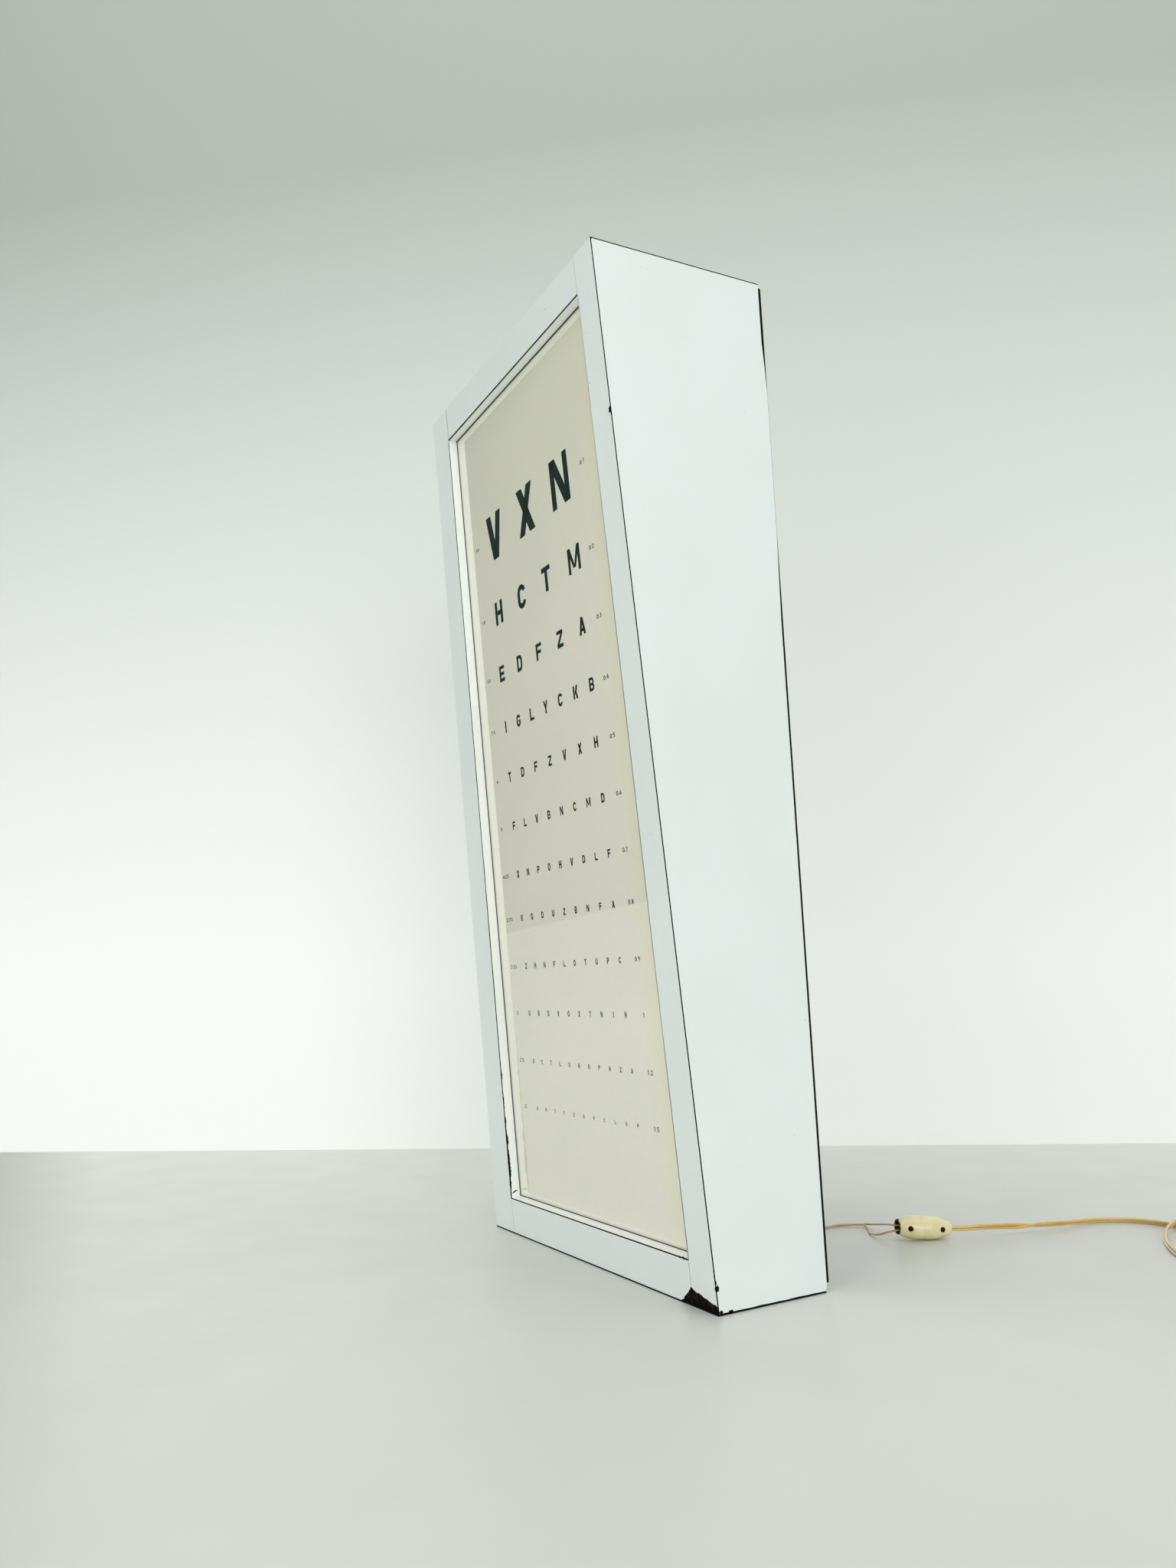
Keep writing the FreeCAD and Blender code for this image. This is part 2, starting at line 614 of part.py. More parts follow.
def hole_floor(a):
    """How far from the axis the floor of the screw recess at a is."""
    run = max(flat_x0 - a, a - flat_x1)
    bend = fall_left if a < 0 else fall_right
    return radius - bend + math.sqrt(bend * bend - run * run) - SWITCH_HOLE_DEEP


for a in SWITCH_HOLE_PLACES:
    floor = hole_floor(a)
    barrel = barrel.cut(rod((a, -floor, 0), (0, -1, 0), SWITCH_HOLE, radius))
slot_x = BUTTON_LONG / 2 + BUTTON_TRAVEL / 2 + BUTTON_PLAY
slot_z = BUTTON_WIDE / 2 + BUTTON_PLAY
slot_floor = radius - BUTTON_DEEP
barrel = barrel.cut(block(-slot_x, slot_x, slot_floor, radius + 1, -slot_z, slot_z))
switch_at = FreeCAD.Placement(switch_mid + V(0, BACK_Y, 0), FreeCAD.Rotation(SWITCH_TURN, SWITCH_TILT, 0))
front_half = barrel.common(block(-half_long + SWITCH_CUT_BACK, half_long, -radius, 0, -radius, radius))
rear_half = barrel.common(block(-half_long, half_long, 0, radius, -radius, radius))
for shape, name in ((front_half, "switch_cover"), (rear_half, "switch_base")):
    shape.Placement = switch_at
    save(shape, name)

switch_screws = []
for a in SWITCH_HOLE_PLACES:
    screw = rod((a, -hole_floor(a), 0), (0, -1, 0), SWITCH_HOLE - 2 * SCREW_PLAY, SCREW_THICK)
    screw.Placement = switch_at
    switch_screws.append(screw)
save(group(switch_screws), "switch_screws")

button_rest = -BUTTON_TRAVEL / 2
button = block(button_rest - BUTTON_LONG / 2, button_rest + BUTTON_LONG / 2, slot_floor + 0.3,
               radius + BUTTON_PROUD, -BUTTON_WIDE / 2, BUTTON_WIDE / 2)
button.Placement = switch_at
save(button, "switch_button")

# Flex from the switch: on the floor, out of sight, once round in a loose loop and into the coil

far_z = FLEX_FAR / 2
far_route = [
    on_switch(half_long - 6),
    on_switch(half_long + 8),
    (119, 198, 7.6),
    (124.5, 214, 6.8),
    (130, 230, 5.9),
    (132.5, 247, 5.0),
    (136.5, 272, 3.6),
    (138.5, 297, 2.4),
    (146, 319, far_z),
    (164, 336, far_z),
    (191, 341, far_z),
    (232, 336, far_z),
    (266, 324, far_z),
    (294, 300, far_z),
    (304, 270, far_z),
    (292, 246, far_z),
    (266, 242, far_z),
    (240, 261, far_z),
    (214, 290, far_z),
    (199, 318, 5.4),
    (196, 346, 8.0),
    (204, 370.7, far_z + 0.6),
    (219.5, 389.5, far_z),
]
save(bent(behind(far_route), FLEX_FAR), "flex_far")

# Put-away coil, its tie and the plug beside it

ring = COIL_RING / 2
coil_y = BACK_Y + COIL_BEHIND
coil = rod((COIL_X, coil_y, 0), (0, 0, 1), 2 * (ring + COIL_WIDE / 2), COIL_HIGH)
coil = coil.cut(rod((COIL_X, coil_y, -1), (0, 0, 1), 2 * (ring - COIL_WIDE / 2), COIL_HIGH + 2))
save(coil, "flex_coil")
coil_in = ring - COIL_WIDE / 2
coil_out = ring + COIL_WIDE / 2
tie_y0 = coil_y - coil_out - TIE_PLAY
tie_y1 = coil_y - coil_in + 2
tie_top = COIL_HIGH + TIE_PLAY
tie = block(COIL_X - TIE_WIDE / 2, COIL_X + TIE_WIDE / 2, tie_y0 - TIE, tie_y1 + TIE, 0, tie_top + TIE)
tie = tie.cut(block(COIL_X - TIE_WIDE, COIL_X + TIE_WIDE, tie_y0, tie_y1, -1, tie_top))
save(tie, "coil_tie")

plug_x = COIL_X + PLUG_FROM_COIL
plug_y = coil_y + ring
plug_z = PLUG_THICK / 2
entry = plug_x - PLUG_LONG / 2
leave = COIL_X + math.sqrt(coil_out ** 2 - ring ** 2)
tail_route = [
    (leave, plug_y, COIL_HIGH - far_z),
    (leave + 11, plug_y, plug_z),
    (entry, plug_y, plug_z),
]
save(bent(tail_route, FLEX_FAR), "flex_tail")

plug = block(plug_x - PLUG_LONG / 2, plug_x + PLUG_LONG / 2, plug_y - PLUG_WIDE / 2, plug_y + PLUG_WIDE / 2,
             0, PLUG_THICK)
along = [e for e in plug.Edges if abs(e.Vertexes[0].X - e.Vertexes[1].X) > 1]
plug = plug.makeFillet(PLUG_ROUND, along)
save(plug, "plug_body")
prongs = []
for dy in (-PLUG_PIN_SPACING / 2, PLUG_PIN_SPACING / 2):
    prongs.append(rod((plug_x + PLUG_LONG / 2, plug_y + dy, plug_z), (1, 0, 0), PLUG_PIN, PLUG_PIN_LONG))
save(group(prongs), "plug_pins")

print("back top z %.1f, front y %.2f, back y %.2f" % (back_top_z, FRONT_Y, BACK_Y))
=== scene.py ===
import bpy
import bmesh
import math
import random
from mathutils import Matrix, Vector


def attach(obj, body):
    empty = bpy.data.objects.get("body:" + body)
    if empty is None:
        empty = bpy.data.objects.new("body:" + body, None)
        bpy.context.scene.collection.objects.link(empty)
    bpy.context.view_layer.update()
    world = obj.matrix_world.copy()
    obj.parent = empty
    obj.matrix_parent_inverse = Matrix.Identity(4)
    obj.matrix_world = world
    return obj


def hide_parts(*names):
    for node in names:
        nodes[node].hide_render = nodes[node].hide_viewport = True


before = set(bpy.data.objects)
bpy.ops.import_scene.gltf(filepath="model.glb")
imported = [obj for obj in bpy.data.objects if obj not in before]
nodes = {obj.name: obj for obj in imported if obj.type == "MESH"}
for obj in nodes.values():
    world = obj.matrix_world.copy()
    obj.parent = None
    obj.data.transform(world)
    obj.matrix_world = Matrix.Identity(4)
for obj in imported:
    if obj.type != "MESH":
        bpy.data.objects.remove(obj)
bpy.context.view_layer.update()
BOX = "light_box"
MM = 0.001

# Sizes in millimetres, the same as the cabinet's own. REVEAL is how deep the pane lies behind the front,
# and SHEET_AT how deep the pane's back does
WIDTH = 326.0
FRONT_LENGTH = 760.0
LEAN = math.radians(5.8)
FOOT_DEPTH = 91.0
PROUD = 4.0
BACK_Y = (FOOT_DEPTH + FRONT_LENGTH * math.sin(LEAN) - PROUD) / 2
FRONT_Y = BACK_Y - FOOT_DEPTH
HALF = WIDTH / 2
SKIN = 1.0
STILE_LEFT = 35.0
STILE_RIGHT = 27.0
RAIL_TOP = 34.0
RAIL_BOTTOM = 28.0
REVEAL = 8.5
SHEET_AT = 9.2
OPEN_LEFT = -HALF + STILE_LEFT
OPEN_RIGHT = HALF - STILE_RIGHT
OPEN_FOOT = RAIL_BOTTOM
OPEN_HEAD = FRONT_LENGTH - RAIL_TOP
CARD_FRONT = SHEET_AT + 0.10
CARD_BACK = SHEET_AT + 0.58
PRINT_FRONT = SHEET_AT + 0.04
PRINT_BACK = SHEET_AT + 0.09
FLAKE = 0.04                      # how thick a chip or a nick is laid on
FLEX_NEAR = 2.6
FLEX_FAR = 4.2
CORE_WIDE = 1.5


def on_front(x, n, w):
    """Point x across, n behind the sloping front and w up it, in metres."""
    y = FRONT_Y + n * math.cos(LEAN) - w * math.sin(LEAN)
    z = n * math.sin(LEAN) + w * math.cos(LEAN)
    return Vector((x, y, z)) * MM


def on_face(u, v, depth):
    """Point u across and v up the sloping front, depth behind it."""
    return on_front(u, depth, v)


def behind(points):
    """Points in millimetres whose Y is counted from the back, in metres."""
    return [Vector((x, BACK_Y + y, z)) * MM for x, y, z in points]


# Materials

class Shader:
    """A material's node tree, with short ways to add to it."""

    def __init__(self, name):
        self.material = bpy.data.materials.new(name)
        self.material.use_nodes = True
        self.nodes = self.material.node_tree.nodes
        self.links = self.material.node_tree.links
        self.body = self.nodes["Principled BSDF"]
        self.out = self.nodes["Material Output"]
        self.place = self.nodes.new("ShaderNodeTexCoord").outputs["Object"]

    def add(self, kind, **values):
        node = self.nodes.new(kind)
        for key, value in values.items():
            setattr(node, key, value)
        return node

    def join(self, source, target):
        self.links.new(source, target)
        return target

    def set(self, **values):
        for key, value in values.items():
            self.body.inputs[key.replace("_", " ")].default_value = value

    def noise(self, scale, detail=3.0, rough=0.5, place=None):
        node = self.add("ShaderNodeTexNoise")
        node.inputs["Scale"].default_value = scale
        node.inputs["Detail"].default_value = detail
        node.inputs["Roughness"].default_value = rough
        self.join(place or self.place, node.inputs["Vector"])
        return node.outputs["Fac"]

    def spread(self, value, low, high, to_low=0.0, to_high=1.0):
        node = self.add("ShaderNodeMapRange")
        for key, number in zip(("From Min", "From Max", "To Min", "To Max"), (low, high, to_low, to_high)):
            node.inputs[key].default_value = number
        self.join(value, node.inputs["Value"])
        return node.outputs["Result"]

    def mix(self, share, first, second, blend="MIX"):
        node = self.add("ShaderNodeMix", data_type="RGBA", blend_type=blend)
        for socket, value in zip((node.inputs["Factor"], node.inputs["A"], node.inputs["B"]), (share, first, second)):
            if isinstance(value, (tuple, list)):
                socket.default_value = (*value, 1.0) if len(value) == 3 else value
            elif isinstance(value, (int, float)):
                socket.default_value = value
            else:
                self.join(value, socket)
        return node.outputs["Result"]

    def sum(self, operation, first, second=0.0):
        node = self.add("ShaderNodeMath", operation=operation)
        for socket, value in zip(node.inputs, (first, second)):
            if isinstance(value, (int, float)):
                socket.default_value = value
            else:
                self.join(value, socket)
        return node.outputs["Value"]

    def dot(self, origin, direction):
        """How far along a direction the surface lies from a point."""
        away = self.add("ShaderNodeVectorMath", operation="SUBTRACT")
        self.join(self.place, away.inputs[0])
        away.inputs[1].default_value = origin
        along = self.add("ShaderNodeVectorMath", operation="DOT_PRODUCT")
        self.join(away.outputs["Vector"], along.inputs[0])
        along.inputs[1].default_value = direction
        return along.outputs["Value"]

    def bump(self, height, strength=0.2, distance=0.0002):
        node = self.add("ShaderNodeBump")
        node.inputs["Strength"].default_value = strength
        node.inputs["Distance"].default_value = distance
        self.join(height, node.inputs["Height"])
        self.join(node.outputs["Normal"], self.body.inputs["Normal"])

    def colour(self, value):
        self.join(value, self.body.inputs["Base Color"])


def laminate(name, pale, dull, specks=0.35):
    """White plastic laminate: even, a little uneven in tone, with faint dust and hairline marks."""
    s = Shader(name)
    tone = s.mix(s.spread(s.noise(7.0, 4.0), 0.35, 0.7), pale, dull)
    dust = s.spread(s.noise(420.0, 2.0), 0.74, 0.80, 0.0, specks)
    s.colour(s.mix(dust, tone, tuple(c * 0.72 for c in pale)))
    s.join(s.spread(s.noise(60.0, 3.0), 0.3, 0.7, 0.30, 0.42), s.body.inputs["Roughness"])
    s.set(Coat_Weight=0.15, Coat_Roughness=0.2)
    s.bump(s.noise(900.0, 2.0), 0.06)
    return s.material


def plain(name, colour, rough, vary=0.12, scale=90.0, metal=0.0, coat=0.0, bump=0.15):
    """An even finish with a slight play of tone, gloss and surface."""
    s = Shader(name)
    deeper = tuple(c * (1 - vary) for c in colour)
    s.colour(s.mix(s.spread(s.noise(scale, 4.0), 0.3, 0.7), colour, deeper))
    gloss = s.spread(s.noise(scale * 2.3, 3.0), 0.3, 0.7, rough * 0.85, min(1.0, rough * 1.15))
    s.join(gloss, s.body.inputs["Roughness"])
    s.set(Metallic=metal, Coat_Weight=coat)
    s.bump(s.noise(scale * 6, 3.0), bump)
    return s.material


def fibre(name, colour, pale, shine=0.25):
    """Dark fibre of the laminate's core and of the bare board under it."""
    s = Shader(name)
    grain = s.spread(s.noise(420.0, 6.0, 0.7), 0.52, 0.72)
    s.colour(s.mix(grain, colour, pale))
    s.set(Roughness=0.8, Specular_IOR_Level=shine)
    s.bump(s.noise(500.0, 6.0, 0.7), 0.6, 0.0006)
    return s.material


def particle_board(name, colour, pale):
    """Pressed chips, coarse and flecked."""
    s = Shader(name)
    cells = s.add("ShaderNodeTexVoronoi")
    cells.inputs["Scale"].default_value = 320.0
    s.join(s.place, cells.inputs["Vector"])
    s.colour(s.mix(s.spread(cells.outputs["Distance"], 0.1, 0.8), colour, pale))
    s.set(Roughness=0.85)
    s.bump(cells.outputs["Distance"], 0.4, 0.0004)
    return s.material


def clear_pane(name):
    """Thin clear glass: see-through, with a mirror sheen that grows towards a glancing view."""
    s = Shader(name)
    s.nodes.remove(s.body)
    clear = s.add("ShaderNodeBsdfTransparent")
    clear.inputs["Color"].default_value = (0.990, 0.995, 0.988, 1)
    sheen = s.add("ShaderNodeBsdfGlossy")
    sheen.inputs["Color"].default_value = (1, 1, 1, 1)
    s.join(s.spread(s.noise(35.0, 3.0), 0.3, 0.7, 0.01, 0.03), sheen.inputs["Roughness"])
    fresnel = s.add("ShaderNodeFresnel")
    fresnel.inputs["IOR"].default_value = 1.5
    inward = s.add("ShaderNodeNewGeometry").outputs["Backfacing"]
    share = s.add("ShaderNodeMixShader")
    outward = s.sum("MULTIPLY", s.sum("SUBTRACT", 1.0, inward), 2.0)
    s.join(s.sum("MULTIPLY", fresnel.outputs["Fac"], outward), share.inputs["Fac"])
    s.join(clear.outputs["BSDF"], share.inputs[1])
    s.join(sheen.outputs["BSDF"], share.inputs[2])
    s.join(share.outputs["Shader"], s.out.inputs["Surface"])
    return s.material


def printed_card(name):
    """Ivory card, yellower down its right edge and greyer towards its head."""
    s = Shader(name)
    across = s.dot((OPEN_RIGHT * MM, 0, 0), (1, 0, 0))
    edge = s.spread(across, -0.040, -0.004)
    up = s.spread(s.dot((0, 0, 0.30), (0, 0, 1)), 0.0, 0.45)
    tone = s.mix(s.spread(s.noise(9.0, 4.0), 0.35, 0.65), (0.975, 0.940, 0.850), (0.945, 0.915, 0.820))
    tone = s.mix(s.sum("MULTIPLY", up, 0.75), tone, (0.900, 0.880, 0.750))
    tone = s.mix(s.sum("MULTIPLY", edge, 0.75), tone, (0.985, 0.955, 0.720))
    s.colour(s.mix(s.spread(s.noise(700.0, 2.0), 0.4, 0.7, 0.0, 0.10), tone, (0.5, 0.5, 0.42)))
    s.set(Roughness=0.6)
    s.bump(s.noise(1500.0, 2.0), 0.05)
    return s.material


def twin_cover(name, colour, deep, gloss=0.25):
    """Clear tinted cover over a stranded core, the strands showing as fine slanting lines."""
    s = Shader(name)
    wave = s.add("ShaderNodeTexWave", wave_type="BANDS", bands_direction="DIAGONAL")
    wave.inputs["Scale"].default_value = 420.0
    wave.inputs["Distortion"].default_value = 2.0
    s.join(s.place, wave.inputs["Vector"])
    strands = s.mix(s.spread(wave.outputs["Fac"], 0.2, 0.9, 0.0, 0.14), colour, deep)
    s.colour(s.mix(s.spread(s.noise(45.0, 3.0), 0.4, 0.75, 0.0, 0.5), strands, deep))
    s.set(Roughness=gloss, Coat_Weight=0.7, Coat_Roughness=0.10, Specular_IOR_Level=0.6)
    s.bump(s.noise(300.0, 3.0), 0.08, 0.0001)
    return s.material


WHITE = laminate("white_laminate", (0.80, 0.83, 0.83), (0.76, 0.80, 0.795))
WHITE_LINING = laminate("white_laminate_lining", (0.93, 0.95, 0.93), (0.90, 0.92, 0.89))
WORN_LINING = laminate("worn_laminate_lining", (0.92, 0.93, 0.90), (0.86, 0.87, 0.83))
# The laminate's dark core; the same dark material is also laid as painted shade at the pane's edge and along the
# side's foot
CORE_AND_SHADE = fibre("laminate_core_and_shade", (0.004, 0.003, 0.003), (0.014, 0.010, 0.008), 0.15)
BOARD = particle_board("particle_board", (0.42, 0.30, 0.18), (0.62, 0.50, 0.34))
STAINED = fibre("stained_board", (0.003, 0.002, 0.002), (0.060, 0.030, 0.024), 0.12)
HARDBOARD = fibre("hardboard", (0.006, 0.004, 0.003), (0.024, 0.014, 0.009), 0.15)
STEEL = plain("zinc_steel", (0.60, 0.60, 0.58), 0.38, 0.2, 200.0, metal=1.0)
RUBBER = plain("black_rubber", (0.020, 0.020, 0.020), 0.6)
ENAMEL = plain("white_enamel", (0.82, 0.82, 0.80), 0.3, 0.06, 50.0, coat=0.3)
LAMP = plain("lamp_glass", (0.88, 0.88, 0.86), 0.15, 0.04, 40.0, coat=0.5)
LAMP_METAL = plain("lamp_metal", (0.70, 0.70, 0.71), 0.35, 0.15, 150.0, metal=1.0)
PLASTIC = plain("white_plastic", (0.80, 0.80, 0.75), 0.45, 0.08)
OPAL = plain("opal_sheet", (0.86, 0.87, 0.84), 0.35, 0.04, 20.0)
WIRE = plain("inner_wire_cover", (0.18, 0.16, 0.15), 0.4)
DARK = plain("dark_plastic", (0.030, 0.024, 0.020), 0.5)
SCREW = plain("blackened_screw", (0.004, 0.004, 0.005), 0.85)
BRASS = plain("pin_brass", (0.62, 0.50, 0.24), 0.28, 0.2, 180.0, metal=1.0)
PLUG = plain("plug_plastic", (0.66, 0.60, 0.30), 0.32, 0.10, 60.0, coat=0.2)
INK = plain("letter_ink", (0.006, 0.036, 0.029), 0.85, 0.25, 160.0, bump=0.03)
FINE_INK = plain("number_ink", (0.012, 0.030, 0.026), 0.85, 0.25, 160.0, bump=0.03)
for ink in (INK, FINE_INK):
    ink.node_tree.nodes["Principled BSDF"].inputs["Specular IOR Level"].default_value = 0.08
GLASS = clear_pane("clear_glass")
CARD = printed_card("printed_card")
ROSE_COVER = twin_cover("rose_flex_cover", (0.60, 0.37, 0.14), (0.40, 0.21, 0.06), 0.3)
GOLD_COVER = twin_cover("gold_flex_cover", (0.72, 0.48, 0.13), (0.42, 0.23, 0.045), 0.22)

SWITCH_TURN = math.radians(64.0)
SWITCH_TILT = math.radians(4.1)
SWITCH_LONG = 44.2
SWITCH_MID = Vector((97.2, 157.2, 8.78))
SWITCH_AXIS = Vector((math.cos(SWITCH_TURN) * math.cos(SWITCH_TILT),
                      math.sin(SWITCH_TURN) * math.cos(SWITCH_TILT), -math.sin(SWITCH_TILT)))
SWITCH_UP = Vector((math.cos(SWITCH_TURN) * math.sin(SWITCH_TILT),
                    math.sin(SWITCH_TURN) * math.sin(SWITCH_TILT), math.cos(SWITCH_TILT)))


def on_switch(a, h=0.0):
    """Point a along the switch's axis and h above it, Y counted from the back."""
    return tuple(SWITCH_MID + SWITCH_AXIS * a + SWITCH_UP * h)


def aged_ivory(name):
    """Yellowed ivory plastic, darker round the open end and inside it."""
    s = Shader(name)
    middle = behind([SWITCH_MID])[0]
    along = s.dot(middle, SWITCH_AXIS)
    away = s.add("ShaderNodeVectorMath", operation="SUBTRACT")
    s.join(s.place, away.inputs[0])
    away.inputs[1].default_value = middle
    size = s.add("ShaderNodeVectorMath", operation="LENGTH")
    s.join(away.outputs["Vector"], size.inputs[0])
    out = s.sum("SQRT", s.sum("SUBTRACT", s.sum("POWER", size.outputs["Value"], 2.0), s.sum("POWER", along, 2.0)))
    tone = s.mix(s.spread(s.noise(140.0, 5.0, 0.65), 0.4, 0.62), (0.82, 0.74, 0.44), (0.74, 0.66, 0.34))
    tone = s.mix(s.spread(s.noise(900.0, 2.0), 0.66, 0.75, 0.0, 0.4), tone, (0.48, 0.40, 0.15))
    ragged = s.sum("ADD", along, s.spread(s.noise(420.0, 4.0), 0.2, 0.8, -0.0006, 0.0006))
    # The open end and the inside of its mouth are made dark brown-black
    darker_end = s.spread(ragged, -0.0208, -0.0204, 1.0, 0.0)
    inside = s.sum("MULTIPLY", s.spread(out, 0.00435, 0.00445, 1.0, 0.0), s.spread(along, -0.0085, -0.0080, 1.0, 0.0))
    dark = s.sum("MAXIMUM", darker_end, inside)
    s.colour(s.mix(dark, tone, s.mix(s.noise(600.0), (0.006, 0.003, 0.002), (0.060, 0.028, 0.012))))
    s.join(s.spread(dark, 0.0, 1.0, 0.28, 0.7), s.body.inputs["Roughness"])
    s.set(Coat_Weight=0.6, Coat_Roughness=0.12)
    s.bump(s.noise(700.0, 3.0), 0.08)
    return s.material


IVORY = aged_ivory("aged_ivory")

finish = {
    "side_board_left": BOARD, "side_board_right": BOARD, "top_board": BOARD, "bottom_board": BOARD,
    "stile_left": STAINED, "stile_right": STAINED, "rail_top": STAINED, "rail_bottom": STAINED,
    "bead_left": BOARD, "bead_right": BOARD, "bead_top": BOARD, "bead_bottom": BOARD,
    "opal_diffuser": OPAL, "back_panel": HARDBOARD,
    "bead_pins": STEEL, "back_panel_screws": STEEL, "hanging_plates": STEEL, "hanging_plate_screws": STEEL,
    "lamp_tray_screws": STEEL, "switch_screws": SCREW, "outlet_bush": RUBBER, "lamp_tray": ENAMEL,
    "ballast": ENAMEL, "tube_left": LAMP, "tube_right": LAMP, "tube_caps": LAMP_METAL, "starters": LAMP_METAL,
    "lampholders": PLASTIC, "starter_sockets": PLASTIC, "terminal_block": PLASTIC, "flex_clamp": PLASTIC,
    "inner_wires": WIRE, "flex_near": ROSE_COVER, "core_upper": ROSE_COVER, "core_lower": ROSE_COVER,
    "flex_far": GOLD_COVER, "flex_coil": GOLD_COVER, "flex_tail": GOLD_COVER, "switch_cover": IVORY,
    "switch_base": IVORY, "switch_button": DARK, "coil_tie": DARK, "plug_body": PLUG, "plug_pins": BRASS,
}
for name, material in finish.items():
    nodes[name].data.materials.clear()
    nodes[name].data.materials.append(material)

# Laminate sheets: white on their faces, dark on their cut edges

FRONT_FACING = Vector((0, -math.cos(LEAN), -math.sin(LEAN)))
UP_SLOPE = Vector((0, -math.sin(LEAN), math.cos(LEAN)))
ACROSS = Vector((1, 0, 0))
sheets = {
    "side_skin_left": (ACROSS, WHITE), "side_skin_right": (ACROSS, WHITE), "top_skin": (UP_SLOPE, WHITE),
    "bottom_skin": (Vector((0, 0, 1)), WHITE), "stile_left_skin": (FRONT_FACING, WHITE),
    "stile_right_skin": (FRONT_FACING, WHITE), "rail_top_skin": (FRONT_FACING, WHITE),
    "rail_bottom_skin": (FRONT_FACING, WHITE), "lining_left_lower": (ACROSS, WORN_LINING),
    "lining_left_upper": (ACROSS, WHITE_LINING), "lining_right": (ACROSS, WHITE_LINING),
    "lining_top": (UP_SLOPE, WHITE_LINING), "lining_bottom": (UP_SLOPE, WHITE_LINING),
}
for name, (facing, white) in sheets.items():
    mesh = nodes[name].data
    mesh.materials.clear()
    mesh.materials.append(white)
    mesh.materials.append(CORE_AND_SHADE)
    for face in mesh.polygons:
        hidden = name == "bottom_skin" and face.normal.z > 0
        white_edge = name == "lining_right" and face.normal.dot(FRONT_FACING) > 0.9
        face.material_index = 0 if white_edge or abs(face.normal.dot(facing)) > 0.9 and not hidden else 1


for name in ("stile_left", "stile_right", "rail_top", "rail_bottom"):
    mesh = nodes[name].data
    mesh.materials.append(BOARD)
    for face in mesh.polygons:
        face.material_index = 0 if face.normal.dot(FRONT_FACING) > 0.9 or face.center.z < 0.02 else 1


# Building helpers

def piece(name, points, faces, material, body=BOX, slot=None, smooth=False):
    """A mesh piece in the object's own frame that moves with one of its bodies."""
    mesh = bpy.data.meshes.new(name)
    mesh.from_pydata([tuple(p) for p in points], [], faces)
    tidy = bmesh.new()
    tidy.from_mesh(mesh)
    bmesh.ops.recalc_face_normals(tidy, faces=tidy.faces)
    tidy.to_mesh(mesh)
    tidy.free()
    mesh.materials.append(material)
    for face in mesh.polygons:
        face.use_smooth = smooth
    made = bpy.data.objects.new(name, mesh)
    bpy.context.scene.collection.objects.link(made)
    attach(made, body)
    return made


def slab(outlines, place, low, high):
    """Points and faces of flat outlines given thickness: place(u, v, depth) puts each point."""
    points = []
    faces = []
    for outline in outlines:
        start = len(points)
        count = len(outline)
        points += [place(u, v, low) for u, v in outline]
        points += [place(u, v, high) for u, v in outline]
        faces.append([start + i for i in range(count)][::-1])
        faces.append([start + count + i for i in range(count)])
        for i in range(count):
            j = (i + 1) % count
            faces.append([start + i, start + j, start + count + j, start + count + i])
    return points, faces


# Pane, chart sheet and its print

edge_play = 7.0
card_outline = [(OPEN_LEFT - edge_play, OPEN_FOOT - edge_play), (OPEN_RIGHT + edge_play, OPEN_FOOT - edge_play),
                (OPEN_RIGHT + edge_play, OPEN_HEAD + edge_play), (OPEN_LEFT - edge_play, OPEN_HEAD + edge_play)]
card = piece("printed_card", *slab([card_outline], on_face, CARD_FRONT, CARD_BACK), CARD, slot="printed_sheet")
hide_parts("chart_sheet")
pane = piece("clear_pane", *slab([card_outline], on_face, REVEAL, SHEET_AT), GLASS, slot="pane")
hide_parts("glass_pane")

STROKE = 0.215
LETTER_WIDE = 0.70


def bar(x0, y0, x1, y1):
    return [[(x0, y0), (x1, y0), (x1, y1), (x0, y1)]]


def slant(foot0, foot1, head0, head1, y0=0.0, y1=1.0):
    """A sloping stroke, cut level at its foot and head."""
    return [[(foot0, y0), (foot1, y0), (head1, y1), (head0, y1)]]


def bow(cx, cy, wide, tall, start, end, thick=STROKE, steps=10):
    """Part of a ring, from one angle in degrees to another."""
    parts = []
    for i in range(steps):
        a = math.radians(start + (end - start) * i / steps)
        b = math.radians(start + (end - start) * (i + 1) / steps)
        parts.append([
            (cx + (wide - thick) * math.cos(a), cy + (tall - thick) * math.sin(a)),
            (cx + wide * math.cos(a), cy + tall * math.sin(a)),
            (cx + wide * math.cos(b), cy + tall * math.sin(b)),
            (cx + (wide - thick) * math.cos(b), cy + (tall - thick) * math.sin(b)),
        ])
    return parts


